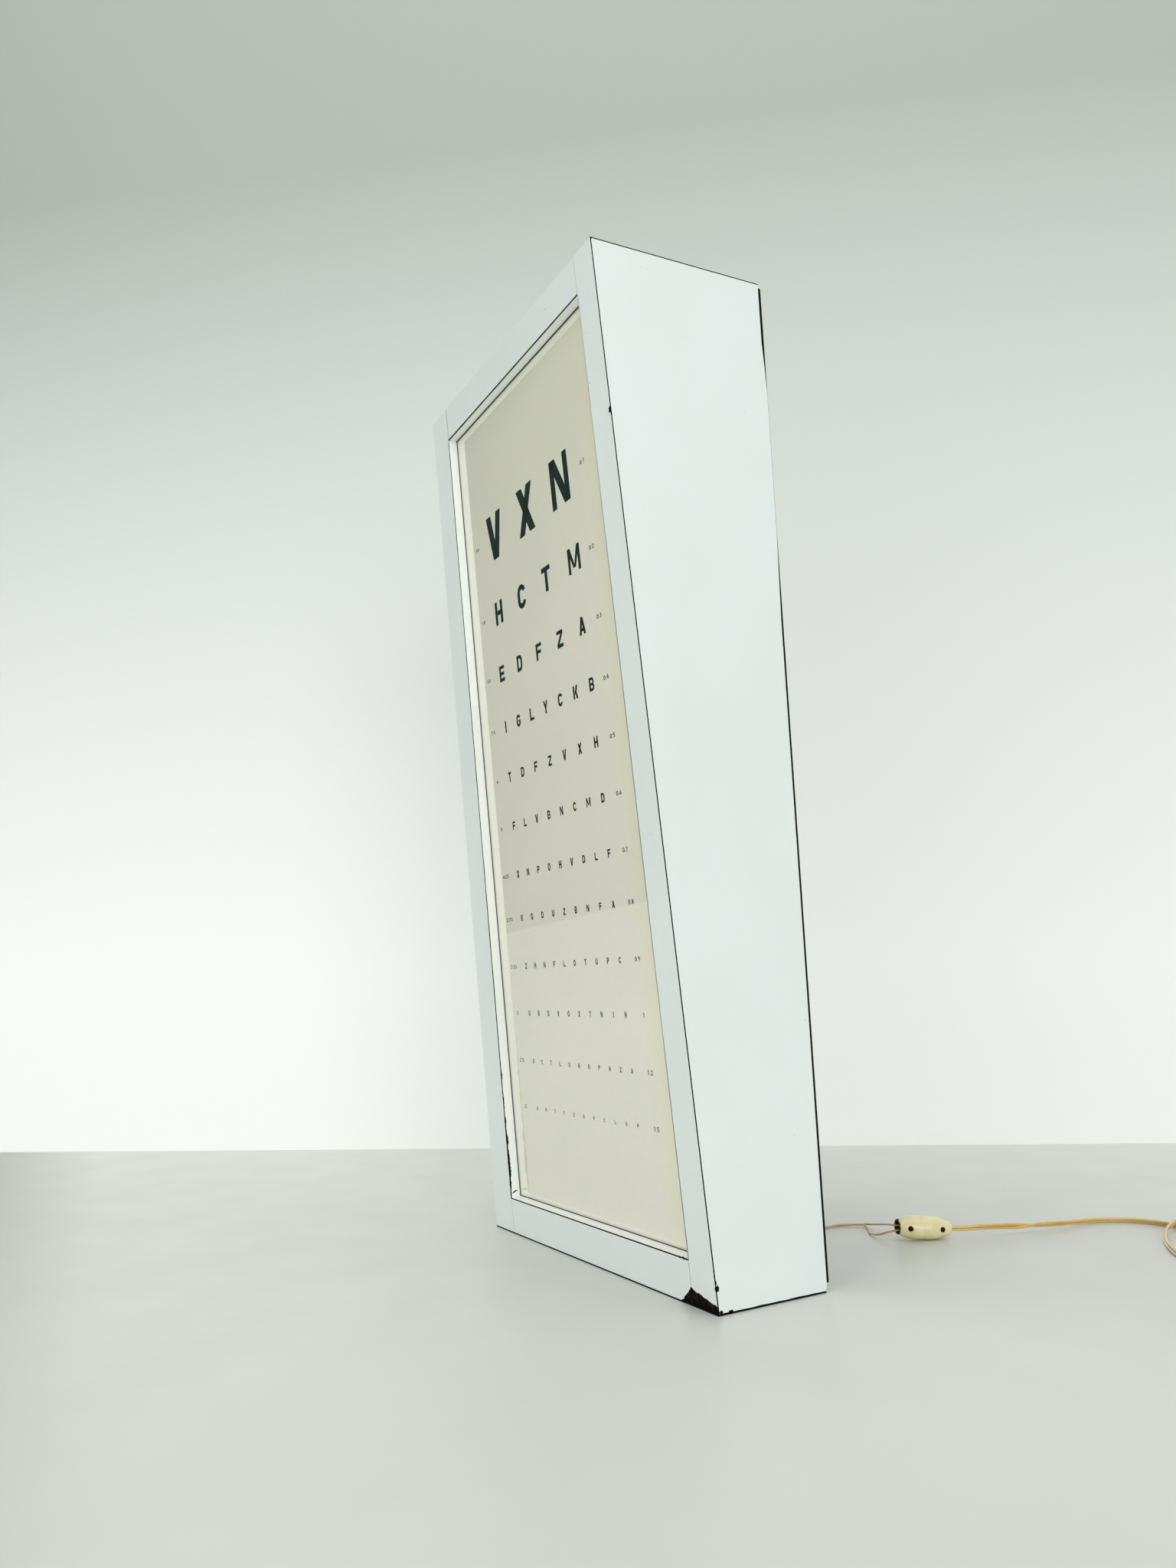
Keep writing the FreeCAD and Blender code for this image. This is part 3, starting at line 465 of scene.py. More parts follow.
T = STROKE
W = LETTER_WIDE
R = W / 2
LETTERS = {
    "A": slant(0, T, R - 0.11, R + 0.09) + slant(W - T, W, R - 0.09, R + 0.11) + bar(0.17, 0.2, W - 0.17, 0.37),
    "B": bar(0, 0, T, 1) + bar(T, 0.8, 0.4, 1) + bar(T, 0.42, 0.42, 0.58) + bar(T, 0, 0.4, T)
    + bow(0.40, 0.71, 0.27, 0.29, -90, 90, 0.19) + bow(0.40, 0.29, 0.30, 0.29, -90, 90, 0.19),
    "C": bow(R, 1 - R, R, R, 12, 180) + bar(0, R, T, 1 - R) + bow(R, R, R, R, 180, 348),
    "D": bar(0, 0, T, 1) + bar(T, 0.8, R, 1) + bar(T, 0, R, T) + bow(R, 1 - R, R, R, 0, 90)
    + bar(W - T, R, W, 1 - R) + bow(R, R, R, R, 270, 360),
    "E": bar(0, 0, T, 1) + bar(T, 0.8, W, 1) + bar(T, 0.4, W - 0.05, 0.6) + bar(T, 0, W, T),
    "F": bar(0, 0, T, 1) + bar(T, 0.8, W, 1) + bar(T, 0.4, W - 0.08, 0.6),
    "G": bow(R, 1 - R, R, R, 12, 180) + bar(0, R, T, 1 - R) + bow(R, R, R, R, 180, 360)
    + bar(W - T, R - 0.01, W, 0.5) + bar(R, 0.38, W, 0.54),
    "H": bar(0, 0, T, 1) + bar(W - T, 0, W, 1) + bar(T, 0.4, W - T, 0.6),
    "I": bar(R - T / 2, 0, R + T / 2, 1),
    "K": bar(0, 0, T, 1) + slant(T, T + 0.24, W - 0.25, W, 0.36, 1) + slant(W - 0.24, W, 0.24, 0.44, 0, 0.62),
    "L": bar(0, 0, T, 1) + bar(T, 0, W, T),
    "M": bar(0, 0, 0.17, 1) + bar(W + 0.03, 0, W + 0.2, 1) + slant(0.36, 0.50, 0.0, 0.20, 0.18, 1)
    + slant(0.40, 0.54, 0.70, 0.90, 0.18, 1),
    "N": bar(0, 0, 0.17, 1) + bar(W - 0.17, 0, W, 1) + slant(W - 0.22, W, 0, 0.22),
    "O": bow(R, 1 - R, R, R, 0, 180, steps=14) + bar(0, R, T, 1 - R) + bar(W - T, R, W, 1 - R)
    + bow(R, R, R, R, 180, 360, steps=14),
    "P": bar(0, 0, T, 1) + bar(T, 0.8, 0.38, 1) + bar(T, 0.38, 0.38, 0.56) + bow(0.38, 0.69, 0.32, 0.31, -90, 90),
    "T": bar(0, 0.8, W, 1) + bar(R - T / 2, 0, R + T / 2, 0.8),
    "U": bar(0, R, T, 1) + bar(W - T, R, W, 1) + bow(R, R, R, R, 180, 360, steps=14),
    "V": slant(R - 0.13, R + 0.09, 0, 0.22) + slant(R - 0.09, R + 0.13, W - 0.22, W),
    "X": slant(0, 0.24, W - 0.24, W) + slant(W - 0.24, W, 0, 0.24),
    "Y": bar(R - T / 2, 0, R + T / 2, 0.45) + slant(R - T / 2, R + T / 2, 0, 0.22, 0.42, 1)
    + slant(R - T / 2, R + T / 2, W - 0.22, W, 0.42, 1),
    "Z": bar(0, 0.8, W, 1) + bar(0, 0, W, T) + slant(0, 0.26, W - 0.26, W, T, 0.8),
}
DIGIT = 0.17
NUMBERS = {
    "0": bow(0.3, 0.7, 0.3, 0.3, 0, 180, DIGIT, 7) + bar(0, 0.3, DIGIT, 0.7) + bar(0.6 - DIGIT, 0.3, 0.6, 0.7)
    + bow(0.3, 0.3, 0.3, 0.3, 180, 360, DIGIT, 7),
    "1": bar(0.28, 0, 0.28 + DIGIT, 1) + slant(0.06, 0.2, 0.28, 0.4, 0.72, 1),
    "2": bow(0.3, 0.7, 0.3, 0.3, -20, 170, DIGIT, 8) + bar(0, 0, 0.6, DIGIT)
    + slant(0, 0.16, 0.42, 0.58, DIGIT, 0.6),
    "3": bow(0.27, 0.74, 0.3, 0.26, -90, 150, DIGIT, 8) + bow(0.27, 0.27, 0.33, 0.27, -150, 90, DIGIT, 8),
    "4": bar(0.38, 0, 0.38 + DIGIT, 1) + bar(0, 0.24, 0.62, 0.24 + DIGIT) + slant(0, 0.13, 0.34, 0.46, 0.3, 1),
    "5": bar(0.05, 1 - DIGIT, 0.58, 1) + bar(0.05, 0.5, 0.05 + DIGIT, 1)
    + bow(0.28, 0.31, 0.32, 0.31, -140, 110, DIGIT, 9),
    "6": bow(0.3, 0.3, 0.3, 0.3, 0, 360, DIGIT, 12) + slant(0, 0.13, 0.3, 0.45, 0.35, 1),
    "7": bar(0, 1 - DIGIT, 0.6, 1) + slant(0.12, 0.26, 0.46, 0.6, 0, 0.9),
    "8": bow(0.3, 0.74, 0.27, 0.26, 0, 360, DIGIT, 10) + bow(0.3, 0.27, 0.3, 0.27, 0, 360, DIGIT, 10),
    "9": bow(0.3, 0.7, 0.3, 0.3, 0, 360, DIGIT, 12) + slant(0.15, 0.3, 0.47, 0.6, 0, 0.65),
    ".": bar(0.04, 0, 0.18, 0.14),
}


def letters(text, middles, centre_w, tall):
    """Outlines of test letters, each centred on its place."""
    made = []
    for letter, middle in zip(text, middles):
        wide = W + 0.2 if letter == "M" else W
        for outline in LETTERS[letter]:
            made.append([(middle + (x - wide / 2) * tall, centre_w + (y - 0.5) * tall) for x, y in outline])
    return made


def number(text, middle, centre_w, tall, broad):
    """Outlines of a row's number, its digits broadened and the whole centred on its place."""
    wides = [0.32 if c == "." else 0.76 * broad for c in text]
    x = middle - sum(wides) * tall / 2
    made = []
    for c, wide in zip(text, wides):
        across = tall * (1.0 if c == "." else broad)
        for outline in NUMBERS[c]:
            made.append([(x + u * across, centre_w + (v - 0.5) * tall) for u, v in outline])
        x += wide * tall
    return made


def even(first, last, count):
    """Evenly spaced letter places."""
    return [first + (last - first) * i / (count - 1) for i in range(count)]


# Each row: acuity, test distance, letters, middle of the row down from the front's top edge, letter places
SPAN = (-79.5, 76.0)
rows = [
    ("0.1", "30", "VXN", 158.0, (-65.0, -1.2, 62.0)),
    ("0.2", "15", "HCTM", 230.0, (-70.1, -23.3, 23.6, 71.9)),
    ("0.3", "10", "EDFZA", 286.2, (-75.1, -39.0, -1.8, 36.2, 73.4)),
    ("0.4", "7.5", "IGLYCKB", 334.9, even(-77.0, 78.2, 7)),
    ("0.5", "6", "TDFZVXH", 380.0, even(-78.0, 75.5, 7)),
    ("0.6", "5", "FLVBNCMD", 423.2, even(-78.5, 76.6, 8)),
    ("0.7", "4.25", "XNPOHVDLF", 465.2, even(-79.0, 77.0, 9)),
    ("0.8", "3.75", "KGDUZBNFA", 502.7, even(-79.0, 75.2, 9)),
    ("0.9", "3.33", "ZHNFLOTUPC", 543.1, even(*SPAN, 10)),
    ("1", "3", "UBDVOXTNIH", 581.9, even(-81.0, 75.7, 10)),
    ("1.2", "2.5", "XCTLUNOPHZA", 620.8, even(-81.2, 76.2, 11)),
    ("1.5", "2", "DNTFZHVCLOP", 658.2, even(-82.0, 76.3, 11)),
]
TALL_AT_ONE = 4.36                # height of a letter of acuity 1 at 3 m
ACUITY_X = 100.6
DISTANCE_X = -103.5
print_big = []
print_small = []
for acuity, distance, text, down, places in rows:
    tall = TALL_AT_ONE / float(acuity)
    centre = FRONT_LENGTH - down
    print_big += letters(text, places, centre, tall)
    print_small += number(acuity, ACUITY_X, centre, 3.4, 1.35)
    print_small += number(distance, DISTANCE_X, centre, 3.1, 1.65)

piece("test_letters", *slab(print_big, on_face, PRINT_FRONT, PRINT_BACK), INK, slot="printed_sheet")
piece("row_numbers", *slab(print_small, on_face, PRINT_FRONT, PRINT_BACK), FINE_INK, slot="printed_sheet")

# Painted shade: a dark line where the glass meets the linings, laid in for the shadow gap there

line = 0.45
shade_gap_outlines = [
    [(OPEN_LEFT, OPEN_FOOT), (OPEN_LEFT + line, OPEN_FOOT), (OPEN_LEFT + line, OPEN_HEAD), (OPEN_LEFT, OPEN_HEAD)],
    [(OPEN_LEFT, OPEN_HEAD - 2.2 * line), (OPEN_RIGHT, OPEN_HEAD - 1.8 * line), (OPEN_RIGHT, OPEN_HEAD),
     (OPEN_LEFT, OPEN_HEAD)],
    [(OPEN_LEFT, OPEN_FOOT), (OPEN_RIGHT, OPEN_FOOT), (OPEN_RIGHT, OPEN_FOOT + line), (OPEN_LEFT, OPEN_FOOT + line)],
]
# This strip is painted shade in the laminate core's dark colour, not a part of the cabinet
piece("pane_edge_shade_line", *slab(shade_gap_outlines, on_face, REVEAL - 0.25, REVEAL - 0.02), CORE_AND_SHADE, slot="laminate")


# Chips and nicks: dark core laid bare, and painted shade along the side's foot

def ragged(points, seed, rough=0.35, steps=4):
    """The same outline with uneven sides."""
    chance = random.Random(seed)
    made = []
    for i, (x0, y0) in enumerate(points):
        x1, y1 = points[(i + 1) % len(points)]
        for j in range(steps):
            t = j / steps
            jitter = 0 if j == 0 else rough
            made.append((x0 + (x1 - x0) * t + chance.uniform(-jitter, jitter),
                         y0 + (y1 - y0) * t + chance.uniform(-jitter, jitter)))
    return made


def spot(cx, cy, wide, tall, seed, count=13):
    """A small uneven patch."""
    chance = random.Random(seed)
    return [(cx + wide / 2 * chance.uniform(0.55, 1.15) * math.cos(math.tau * i / count),
             cy + tall / 2 * chance.uniform(0.55, 1.15) * math.sin(math.tau * i / count)) for i in range(count)]


def on_side(y, z, out):
    """Point at Y and Z on the right side, out from it."""
    return Vector((HALF + out, y, z)) * MM


def chipped_sheet(name, outline, white):
    """A front sheet cut to an outline, white in front and at its left edge, dark at the rest of its edges."""
    made = piece(name, *slab([outline], on_face, 0.0, SKIN), white, slot="laminate")
    made.data.materials.append(CORE_AND_SHADE)
    for face in made.data.polygons:
        face.material_index = 0 if abs(face.normal.dot(FRONT_FACING)) > 0.9 or face.normal.x < -0.9 else 1
    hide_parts(name)
    return made


SHEET_FOOT = 1.0
JOINT_AT = 11.4
chip_rail = ragged([(121.7, SHEET_FOOT + 0.05), (125.2, 2.2), (127.4, 4.6), (129.6, 6.1), (132.4, 8.6),
                    (135.3, JOINT_AT)], 4, 0.45, 4)[:21]
chip_stile = ragged([(136.6, JOINT_AT - 0.3), (141.0, 9.6), (145.7, 9.0), (154.4, 7.0), (162.0, 5.9)],
                    9, 0.42, 6)[:25]
rail_sheet = [(OPEN_LEFT, SHEET_FOOT)] + chip_rail + [(OPEN_RIGHT, JOINT_AT + 0.2), (OPEN_RIGHT, OPEN_FOOT - SKIN),
                                                     (OPEN_LEFT, OPEN_FOOT - SKIN)]
stile_sheet = [(OPEN_RIGHT, JOINT_AT)] + chip_stile + [(HALF, 5.4), (HALF, FRONT_LENGTH), (OPEN_RIGHT, FRONT_LENGTH)]
chipped_sheet("rail_bottom_skin", rail_sheet, WHITE)
chipped_sheet("stile_right_skin", stile_sheet, WHITE)

# Joints between the front's sheets, as fine dark lines

joints = [
    [(OPEN_LEFT - 0.40, FRONT_LENGTH - 0.2), (OPEN_LEFT - 0.30, OPEN_HEAD + SKIN),
     (OPEN_LEFT + 0.20, OPEN_HEAD + SKIN), (OPEN_LEFT + 0.20, FRONT_LENGTH - 0.2)],
    [(OPEN_RIGHT - 0.06, FRONT_LENGTH - 0.2), (OPEN_RIGHT - 0.08, OPEN_HEAD + SKIN),
     (OPEN_RIGHT + 0.06, OPEN_HEAD + SKIN), (OPEN_RIGHT + 0.03, FRONT_LENGTH - 0.2)],
    [(OPEN_LEFT - 0.05, SHEET_FOOT), (OPEN_LEFT + 0.07, SHEET_FOOT), (OPEN_LEFT + 0.07, OPEN_FOOT - SKIN),
     (OPEN_LEFT - 0.07, OPEN_FOOT - SKIN)],
    [(OPEN_RIGHT - 0.16, JOINT_AT + 0.4), (OPEN_RIGHT + 0.10, JOINT_AT + 0.4), (OPEN_RIGHT + 0.14, OPEN_FOOT - SKIN),
     (OPEN_RIGHT - 0.14, OPEN_FOOT - SKIN)],
]
piece("sheet_joints", *slab(joints, on_face, -0.03, 0.0), CORE_AND_SHADE, slot="laminate")

nicks_left = [spot(OPEN_LEFT - 0.4, w, wide, tall, i + 20) for i, (w, wide, tall) in enumerate((
    (126.0, 1.1, 3.0), (88.5, 1.3, 2.6), (73.4, 1.8, 5.0), (62.3, 2.0, 4.6), (56.0, 2.2, 5.0), (52.5, 1.6, 3.5),
    (38.0, 1.5, 6.0), (32.0, 0.9, 3.0), (107.0, 0.8, 2.0), (143.0, 0.7, 2.2)))]


def worn_band(widths, seed, step=1.3):
    """An uneven band along an arris: widths gives how far it reaches at each height."""
    chance = random.Random(seed)
    marks = sorted(widths)
    low, high = marks[0][0], marks[-1][0]
    edge = []
    w = low
    while w < high:
        after = next(i for i, m in enumerate(marks) if m[0] > w)
        (w0, n0), (w1, n1) = marks[after - 1], marks[after]
        wide = n0 + (n1 - n0) * (w - w0) / (w1 - w0)
        edge.append((wide * chance.uniform(0.72, 1.22), w + chance.uniform(-0.3, 0.3)))
        w += step if w < 135 else step * 6
    return [(0.0, low)] + edge + [(0.0, high)]


worn_left = worn_band([
    (28.0, 0.6), (31.0, 0.9), (34.0, 0.6), (38.0, 1.3), (42.0, 1.0), (46.0, 1.5), (50.0, 1.9), (54.0, 1.5),
    (57.5, 2.0), (61.0, 1.1), (64.0, 1.4), (68.0, 0.8), (72.0, 1.5), (76.0, 1.7), (80.0, 0.9), (84.0, 0.6),
    (88.5, 1.3), (93.0, 0.6), (105.0, 0.6), (107.5, 0.9), (111.0, 0.5), (123.0, 0.5), (126.5, 1.2), (131.0, 0.5),
    (330.0, 0.3), (726.0, 0.25)], 31)
smudge = [(1.4, 31.6), (3.0, 32.6), (4.6, 33.0), (6.0, 32.8), (6.2, 32.2), (4.4, 31.8), (2.6, 31.2), (1.5, 30.9)]
piece("reveal_wear", *slab([worn_left, smudge], lambda n, w, d: on_front(OPEN_LEFT + d, n, w), 0.0, FLAKE),
      CORE_AND_SHADE, slot="laminate")
worn_head = ragged([(OPEN_LEFT, 0.0), (OPEN_RIGHT, 0.0), (OPEN_RIGHT, 0.5), (0.0, 0.75), (OPEN_LEFT, 0.9)],
                   77, 0.06, 16)
piece("head_wear", *slab([worn_head], lambda u, n, d: on_front(u, n + 0.06, OPEN_HEAD - d), 0.0, FLAKE),
      CORE_AND_SHADE, slot="laminate")
nicks_foot = [spot(x, OPEN_FOOT - 0.5, wide, tall, i + 50) for i, (x, wide, tall) in enumerate((
    (109.5, 2.2, 1.0), (114.0, 3.0, 1.2), (120.0, 2.4, 1.0), (126.0, 3.6, 1.7), (130.5, 3.4, 2.0),
    (133.5, 2.6, 1.6)))]
dust_front = [spot(x, w, size, size, i + 80, 7) for i, (x, w, size) in enumerate((
    (141.0, 690.0, 0.7), (139.6, 648.0, 0.9), (84.0, 744.0, 0.8), (-142.0, 610.0, 0.5), (150.0, 300.0, 0.6)))]
piece("front_nicks", *slab(nicks_left + nicks_foot + dust_front, on_face, -FLAKE, 0.0), CORE_AND_SHADE, slot="laminate")

nicks_side = [
    spot(-11.3, 25.6, 1.2, 1.6, 1), spot(-10.9, 22.8, 1.4, 1.8, 2), spot(-9.2, 15.4, 4.0, 4.6, 3),
    spot(-10.2, 19.0, 1.6, 3.0, 4), spot(0.4, 1.3, 4.2, 2.2, 5), spot(-6.9, 2.0, 3.4, 2.2, 6),
    spot(-71.5, 610.5, 3.2, 7.5, 7), spot(-70.4, 607.5, 2.0, 3.4, 8), spot(-85.0, 755.3, 2.4, 2.2, 9),
    spot(-39.6, 745.6, 0.5, 0.6, 10), spot(56.0, 643.3, 0.6, 0.5, 11), spot(2.1, 696.8, 0.5, 0.5, 12),
    spot(76.0, 172.1, 0.6, 0.6, 13), spot(60.0, 98.0, 0.5, 0.5, 14),
]
# Along the side's foot: a dark line over the bottom sheet's real dark edge and a little above it, widened with
# painted shade where the cabinet meets the floor
foot_shade_edge = [(-9.2 + 87.4 * i / 40, 1.25 + 0.14 * math.sin(i * 0.7) * math.cos(i * 0.23)) for i in range(41)]
foot_shade_line = [(-9.0, 0.6)] + foot_shade_edge + [(78.2, 0.6)]
piece("side_nicks_and_foot_shade", *slab(nicks_side + [foot_shade_line], on_side, 0.0, FLAKE), CORE_AND_SHADE, slot="laminate")

# White sheet's uneven rear edge, over the back panel's

lip = [(78.7, 3.0), (79.5, 3.0), (79.7, 200.0), (79.6, 470.0), (80.5, 515.0), (81.2, 545.0), (81.3, 668.0),
       (80.2, 694.0), (79.1, 712.0), (78.7, 716.0)]
piece("side_sheet_lip", *slab([lip], on_side, -0.42, 0.02), WHITE, slot="laminate")


# Camera, where the photograph was taken from

lens = bpy.data.cameras.new("view")
lens.lens = 24.428
lens.sensor_width = 36.0
lens.shift_x = -0.02335
lens.shift_y = -0.06037
lens.clip_start = 0.01
camera = bpy.data.objects.new("view", lens)
bpy.context.scene.collection.objects.link(camera)
right = Vector((0.51872, 0.85456, -0.02559))
down = Vector((-0.24196, 0.11803, -0.96308))
ahead = Vector((-0.81999, 0.50577, 0.26799))
camera.matrix_world = Matrix((
    (right.x, -down.x, -ahead.x, 0.76572),
    (right.y, -down.y, -ahead.y, -0.43697),
    (right.z, -down.z, -ahead.z, 0.19869),
    (0, 0, 0, 1),
))
bpy.context.scene.camera = camera


# Flexes

def smooth(t):
    """From 0 to 1, slow at both ends."""
    t = max(0.0, min(1.0, t))
    return t * t * (3 - 2 * t)


def spline(name, points, radius):
    """A cord's centreline as one open spline with a round section."""
    curve = bpy.data.curves.new(name, "CURVE")
    curve.dimensions = "3D"
    run = curve.splines.new("NURBS")
    run.points.add(len(points) - 1)
    for target, p in zip(run.points, points):
        target.co = (*p, 1.0)
    run.order_u = 3
    run.use_endpoint_u = True
    curve.resolution_u = 12
    curve.bevel_depth = radius
    curve.bevel_resolution = 4
    curve.use_fill_caps = True
    made = bpy.data.objects.new(name, curve)
    bpy.context.scene.collection.objects.link(made)
    return made


def centreline(name, points):
    """The points along a cord's spline, in metres."""
    guide = spline(name, points, 0.0)
    bpy.context.view_layer.update()
    mesh = bpy.data.meshes.new_from_object(guide.evaluated_get(bpy.context.evaluated_depsgraph_get()))
    path = [v.co.copy() for v in mesh.vertices]
    bpy.data.objects.remove(guide)
    return path


def twin(name, path, core, apart, lie, material, slot, sides=10):
    """Two cores side by side along a path; lie(length) is the angle that they lie at, in degrees."""
    ways = []
    for i, p in enumerate(path):
        way = (path[min(i + 1, len(path) - 1)] - path[max(i - 1, 0)]).normalized()
        ways.append(way)
    level = ways[0].cross(Vector((0, 0, 1))).normalized()
    gone = 0.0
    points = []
    for i, (p, way) in enumerate(zip(path, ways)):
        if i:
            gone += (p - path[i - 1]).length
        level = (level - way * level.dot(way)).normalized()
        flat = way.cross(Vector((0, 0, 1)))
        if flat.length > 0.3:
            level = flat.normalized()
        above = level.cross(way).normalized()
        angle = math.radians(lie(gone))
        beside = level * math.cos(angle) + above * math.sin(angle)
        for side in (-1, 1):
            centre = p + beside * apart * side
            for k in range(sides):
                a = math.tau * k / sides
                points.append(centre + (level * math.cos(a) + above * math.sin(a)) * core)
    faces = []
    for i in range(len(path) - 1):
        for side in range(2):
            a = (i * 2 + side) * sides
            b = ((i + 1) * 2 + side) * sides
            for k in range(sides):
                j = (k + 1) % sides
                faces.append([a + k, a + j, b + j, b + k])
    last = (len(path) - 1) * 2 * sides
    for side in range(2):
        faces.append([side * sides + k for k in range(sides)][::-1])
        faces.append([last + side * sides + k for k in range(sides)])
    return piece(name, points, faces, material, slot=slot, smooth=True)


near_z = FLEX_NEAR / 2
near_points = behind([
    (60, 2.5, 60), (60, 25, 58), (56, 47, 34), (46, 66, 8), (34, 84, near_z), (23, 106, near_z),
    (19.5, 129, near_z), (25, 145, near_z), (36, 152.3, 2.0),
])
near_path = centreline("near_line", near_points)


def near_lie(gone):
    """Turning slowly, and flat where the cores part."""
    return (20 + 90 * math.sin(gone * 40)) * (1 - smooth((gone - 0.155) / 0.025))


near = twin("rose_flex", near_path, 0.70 * MM, 0.64 * MM, near_lie, ROSE_COVER, "near_flex")
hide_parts("flex_near")

core_in = -SWITCH_LONG / 2 + 12.0 * 0.8
cores = {
    "core_upper": [(34.7, 152.6, 2.1), (44, 153, 3.2), (61, 147, 6.8), (77, 140, 10.0), (86, 137.6, 11.2),
                   on_switch(core_in, 1.0)],
    "core_lower": [(35.5, 151.1, 1.8), (46, 147.5, 1.3), (58, 135.5, 1.2), (73, 131, 2.6), (84, 133.5, 7.0),
                   on_switch(core_in, -1.3)],
}
for name, points in cores.items():
    points = behind(points)
    strand = spline("rose_" + name, points, CORE_WIDE / 2 * MM)
    strand.data.materials.append(ROSE_COVER)
    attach(strand, BOX)
    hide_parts(name)

far_z = FLEX_FAR / 2
far_points = [
    on_switch(SWITCH_LONG / 2 - 6), on_switch(SWITCH_LONG / 2 + 8), (119, 198, 7.6), (124.5, 214, 6.8),
    (130, 230, 5.9), (132.5, 247, 5.0), (136.5, 272, 3.6), (138.5, 297, 2.4), (146, 319, far_z),
    (164, 336, far_z), (191, 341, far_z), (232, 336, far_z), (266, 324, far_z), (294, 300, far_z),
    (304, 270, far_z), (292, 246, far_z), (266, 242, far_z), (240, 261, far_z), (214, 290, far_z),
    (199, 318, 5.4), (196, 346, 8.0), (204, 370.7, far_z + 0.6),
]
COIL_X = 250.0
COIL_BEHIND = 375.1
PITCH = 4.6
LAYER = 4.5
RING = 28.0
out_r, mid_r, in_r = RING + PITCH, RING, RING - PITCH
turns = [(out_r, 0), (mid_r, 0), (in_r, 0), (in_r, 1), (mid_r, 1), (out_r, 1), (out_r, 2)]
START = 155.0
STEPS = 24


def coil_points():
    """Turns from the outside in, then out again one layer up, and off along the top layer."""
    made = []
    for i, (radius, layer) in enumerate(turns[:-1]):
        radius_next, layer_next = turns[i + 1]
        for k in range(STEPS):
            share = k / STEPS
            r = radius + (radius_next - radius) * smooth((share - 5 / 6) * 6)
            z = far_z + LAYER * (layer + (layer_next - layer) * smooth((share - 2 / 3) * 6))
            a = math.radians(START - 360 * share)
            made.append((COIL_X + r * math.cos(a), COIL_BEHIND + r * math.sin(a), z))
    for k in range(6):
        share = k / 5
        a = math.radians(START - 65 * share)
        r = out_r + (mid_r - out_r) * smooth(share)
        made.append((COIL_X + r * math.cos(a), COIL_BEHIND + r * math.sin(a), far_z + 2 * LAYER))
    return made


plug_height = 7.5
plug_entry = COIL_X + 60.0 - 15.0
coil = coil_points()
tail = [(COIL_X + 14, COIL_BEHIND + RING, far_z + 2 * LAYER), (COIL_X + 32, COIL_BEHIND + RING, plug_height),
        (plug_entry, COIL_BEHIND + RING, plug_height)]
far_path = centreline("far_line", behind(far_points + coil + tail))


def far_lie(gone):
    """Nearly upright, and once over near the switch."""
    return 64 + 180 * smooth((gone - 0.045) / 0.05) + 6 * math.sin(gone * 25)


far = twin("gold_flex", far_path, 1.06 * MM, 1.04 * MM, far_lie, GOLD_COVER, "gold_flex", sides=12)
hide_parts("flex_far", "flex_coil", "flex_tail")
far_long = sum((b - a).length for a, b in zip(far_path, far_path[1:]))
print("far flex %.3f m, near flex %.3f m" % (far_long, sum((b - a).length for a, b in zip(near_path, near_path[1:]))))

# Floor, backdrop and light

floor_mesh = bpy.data.meshes.new("floor")
floor_mesh.from_pydata([(-6, -6, 0), (6, -6, 0), (6, 6, 0), (-6, 6, 0)], [], [[0, 1, 2, 3]])
floor = bpy.data.objects.new("floor", floor_mesh)
bpy.context.scene.collection.objects.link(floor)
floor_finish = plain("pale_floor", (0.635, 0.645, 0.615), 0.35, 0.03, 6.0, bump=0.02)
floor_mesh.materials.append(floor_finish)

wall_foot = [Vector((-1.031, -0.356, 0)), Vector((-0.068, 0.835, 0))]
wall_way = (wall_foot[1] - wall_foot[0]).normalized()
wall_ends = [wall_foot[0] - wall_way * 4, wall_foot[1] + wall_way * 4]
wall_mesh = bpy.data.meshes.new("backdrop")
rise = Vector((0, 0, 4))
wall_mesh.from_pydata([wall_ends[0], wall_ends[1], wall_ends[1] + rise, wall_ends[0] + rise], [], [[0, 1, 2, 3]])
wall = bpy.data.objects.new("backdrop", wall_mesh)
bpy.context.scene.collection.objects.link(wall)


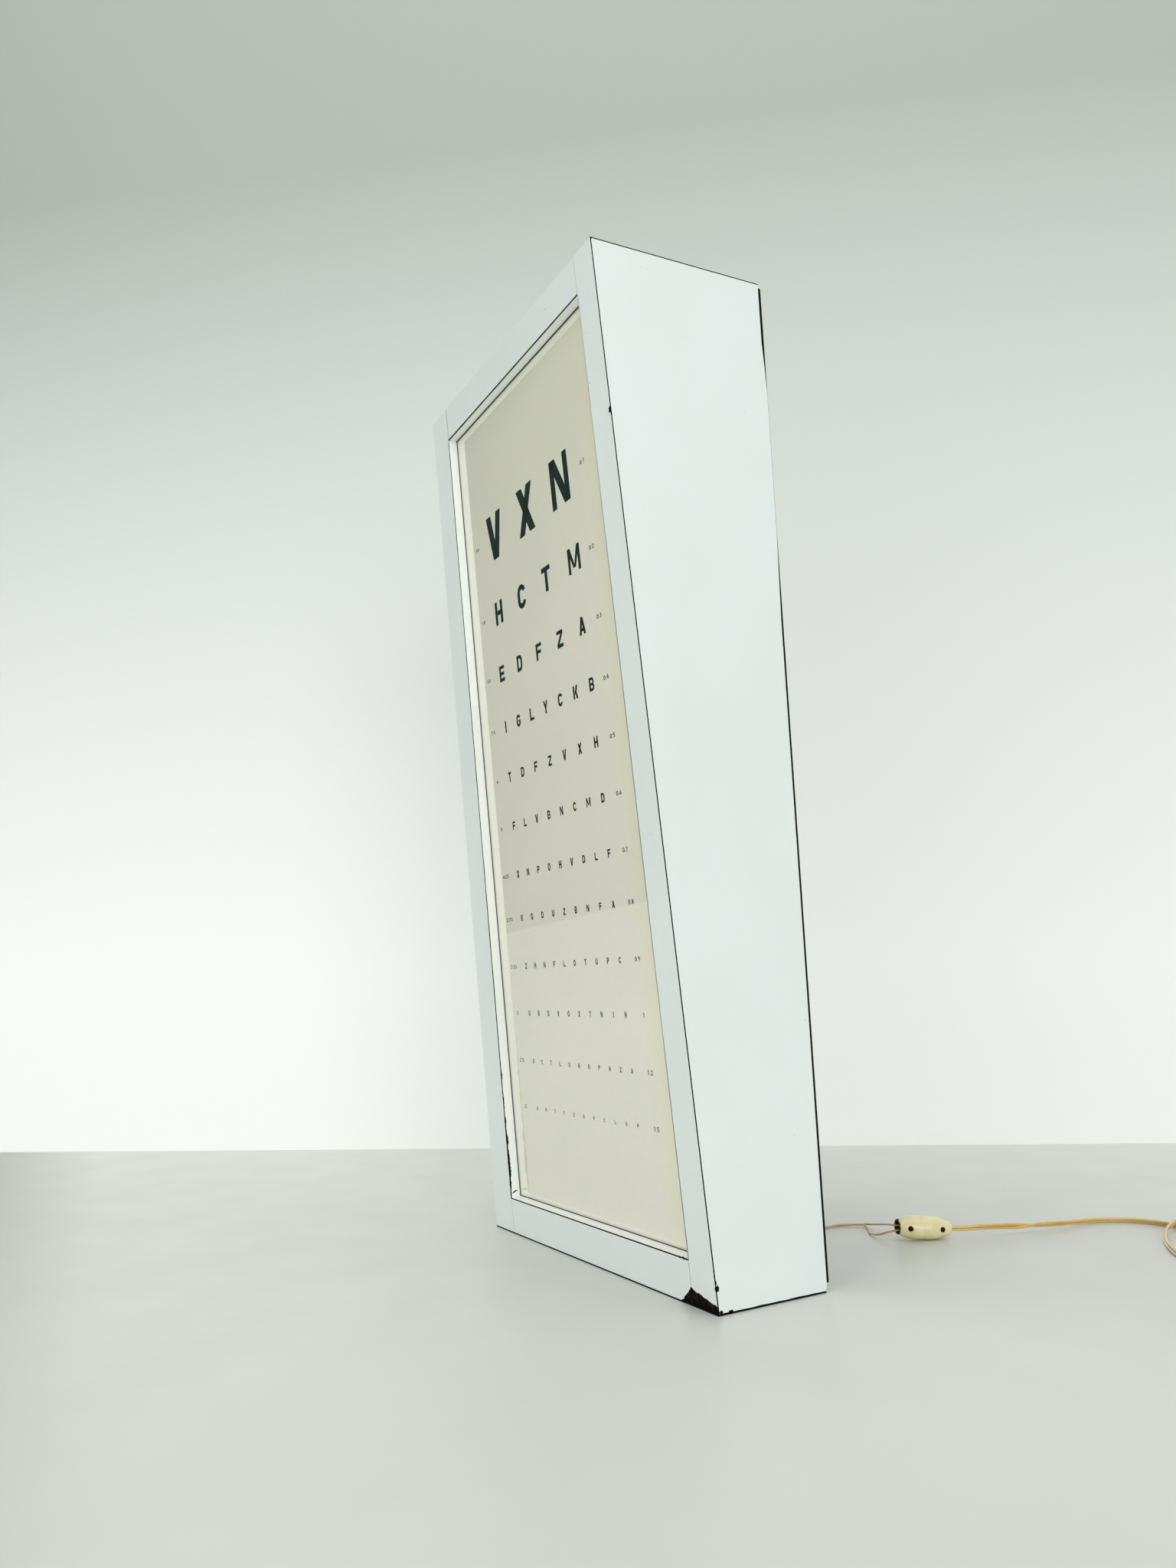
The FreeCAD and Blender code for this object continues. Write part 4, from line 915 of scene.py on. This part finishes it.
def wall_with_painted_shade(name):
    """Matt white paint, with painted shade that greys it with height; see-through from behind and not mirrored at its
    far left.
    """
    s = Shader(name)
    # Painted shade: the colour goes from near white low down to grey higher up, standing in for the light falling off
    # up the wall
    up = s.spread(s.dot((0, 0, 0.22), (0, 0, 1)), 0.0, 1.35)
    s.colour(s.mix(up, (0.96, 0.97, 0.96), (0.43, 0.46, 0.43)))
    s.set(Roughness=0.9, Specular_IOR_Level=0.2)
    behind_wall = s.add("ShaderNodeNewGeometry").outputs["Backfacing"]
    mirrored = s.add("ShaderNodeLightPath").outputs["Is Glossy Ray"]
    far_left = s.spread(s.dot(wall_foot[0], wall_way), -0.05, 0.15, 1.0, 0.0)
    open_side = s.add("ShaderNodeBsdfTransparent")
    share = s.add("ShaderNodeMixShader")
    s.join(s.sum("MAXIMUM", behind_wall, s.sum("MULTIPLY", mirrored, far_left)), share.inputs["Fac"])
    s.join(s.body.outputs["BSDF"], share.inputs[1])
    s.join(open_side.outputs["BSDF"], share.inputs[2])
    s.join(share.outputs["Shader"], s.out.inputs["Surface"])
    return s.material


wall_mesh.materials.append(wall_with_painted_shade("wall_with_painted_shade"))


def lamp(name, place, aim, size, power, tint):
    """A soft area lamp at a place, turned to an aim."""
    light = bpy.data.lights.new(name, "AREA")
    light.shape = "RECTANGLE"
    light.size = size[0]
    light.size_y = size[1]
    light.energy = power
    light.color = tint
    made = bpy.data.objects.new(name, light)
    bpy.context.scene.collection.objects.link(made)
    made.location = place
    made.rotation_euler = (Vector(aim) - Vector(place)).to_track_quat("-Z", "Y").to_euler()


lamp("window", (3.3, -0.95, 0.75), (0, 0, 0.35), (1.8, 1.8), 37, (0.97, 1.0, 1.0))
lamp("sky", (0.3, -0.2, 2.8), (0, 0, 0.2), (3.0, 3.0), 26, (1.0, 1.0, 0.98))
lamp("front_fill", (-0.55, -1.35, 0.50), (-0.05, -0.05, 0.40), (0.8, 0.8), 1.5, (1.0, 1.0, 0.99))
lamp("low_fill", (0.55, -1.35, 0.25), (0, 0, 0.2), (0.9, 0.7), 1.9, (1.0, 1.0, 0.99))

world = bpy.data.worlds.new("room")
world.use_nodes = True
tree = world.node_tree
back = tree.nodes["Background"]
back.inputs["Color"].default_value = (0.80, 0.82, 0.80, 1)
back.inputs["Strength"].default_value = 0.98
dark = tree.nodes.new("ShaderNodeBackground")
dark.inputs["Color"].default_value = (0.80, 0.82, 0.80, 1)
dark.inputs["Strength"].default_value = 0.08
ray = tree.nodes.new("ShaderNodeLightPath")
choose = tree.nodes.new("ShaderNodeMixShader")
tree.links.new(ray.outputs["Is Glossy Ray"], choose.inputs["Fac"])
tree.links.new(back.outputs["Background"], choose.inputs[1])
tree.links.new(dark.outputs["Background"], choose.inputs[2])
tree.links.new(choose.outputs["Shader"], tree.nodes["World Output"].inputs["Surface"])
bpy.context.scene.world = world
bpy.context.scene.view_settings.view_transform = "Standard"
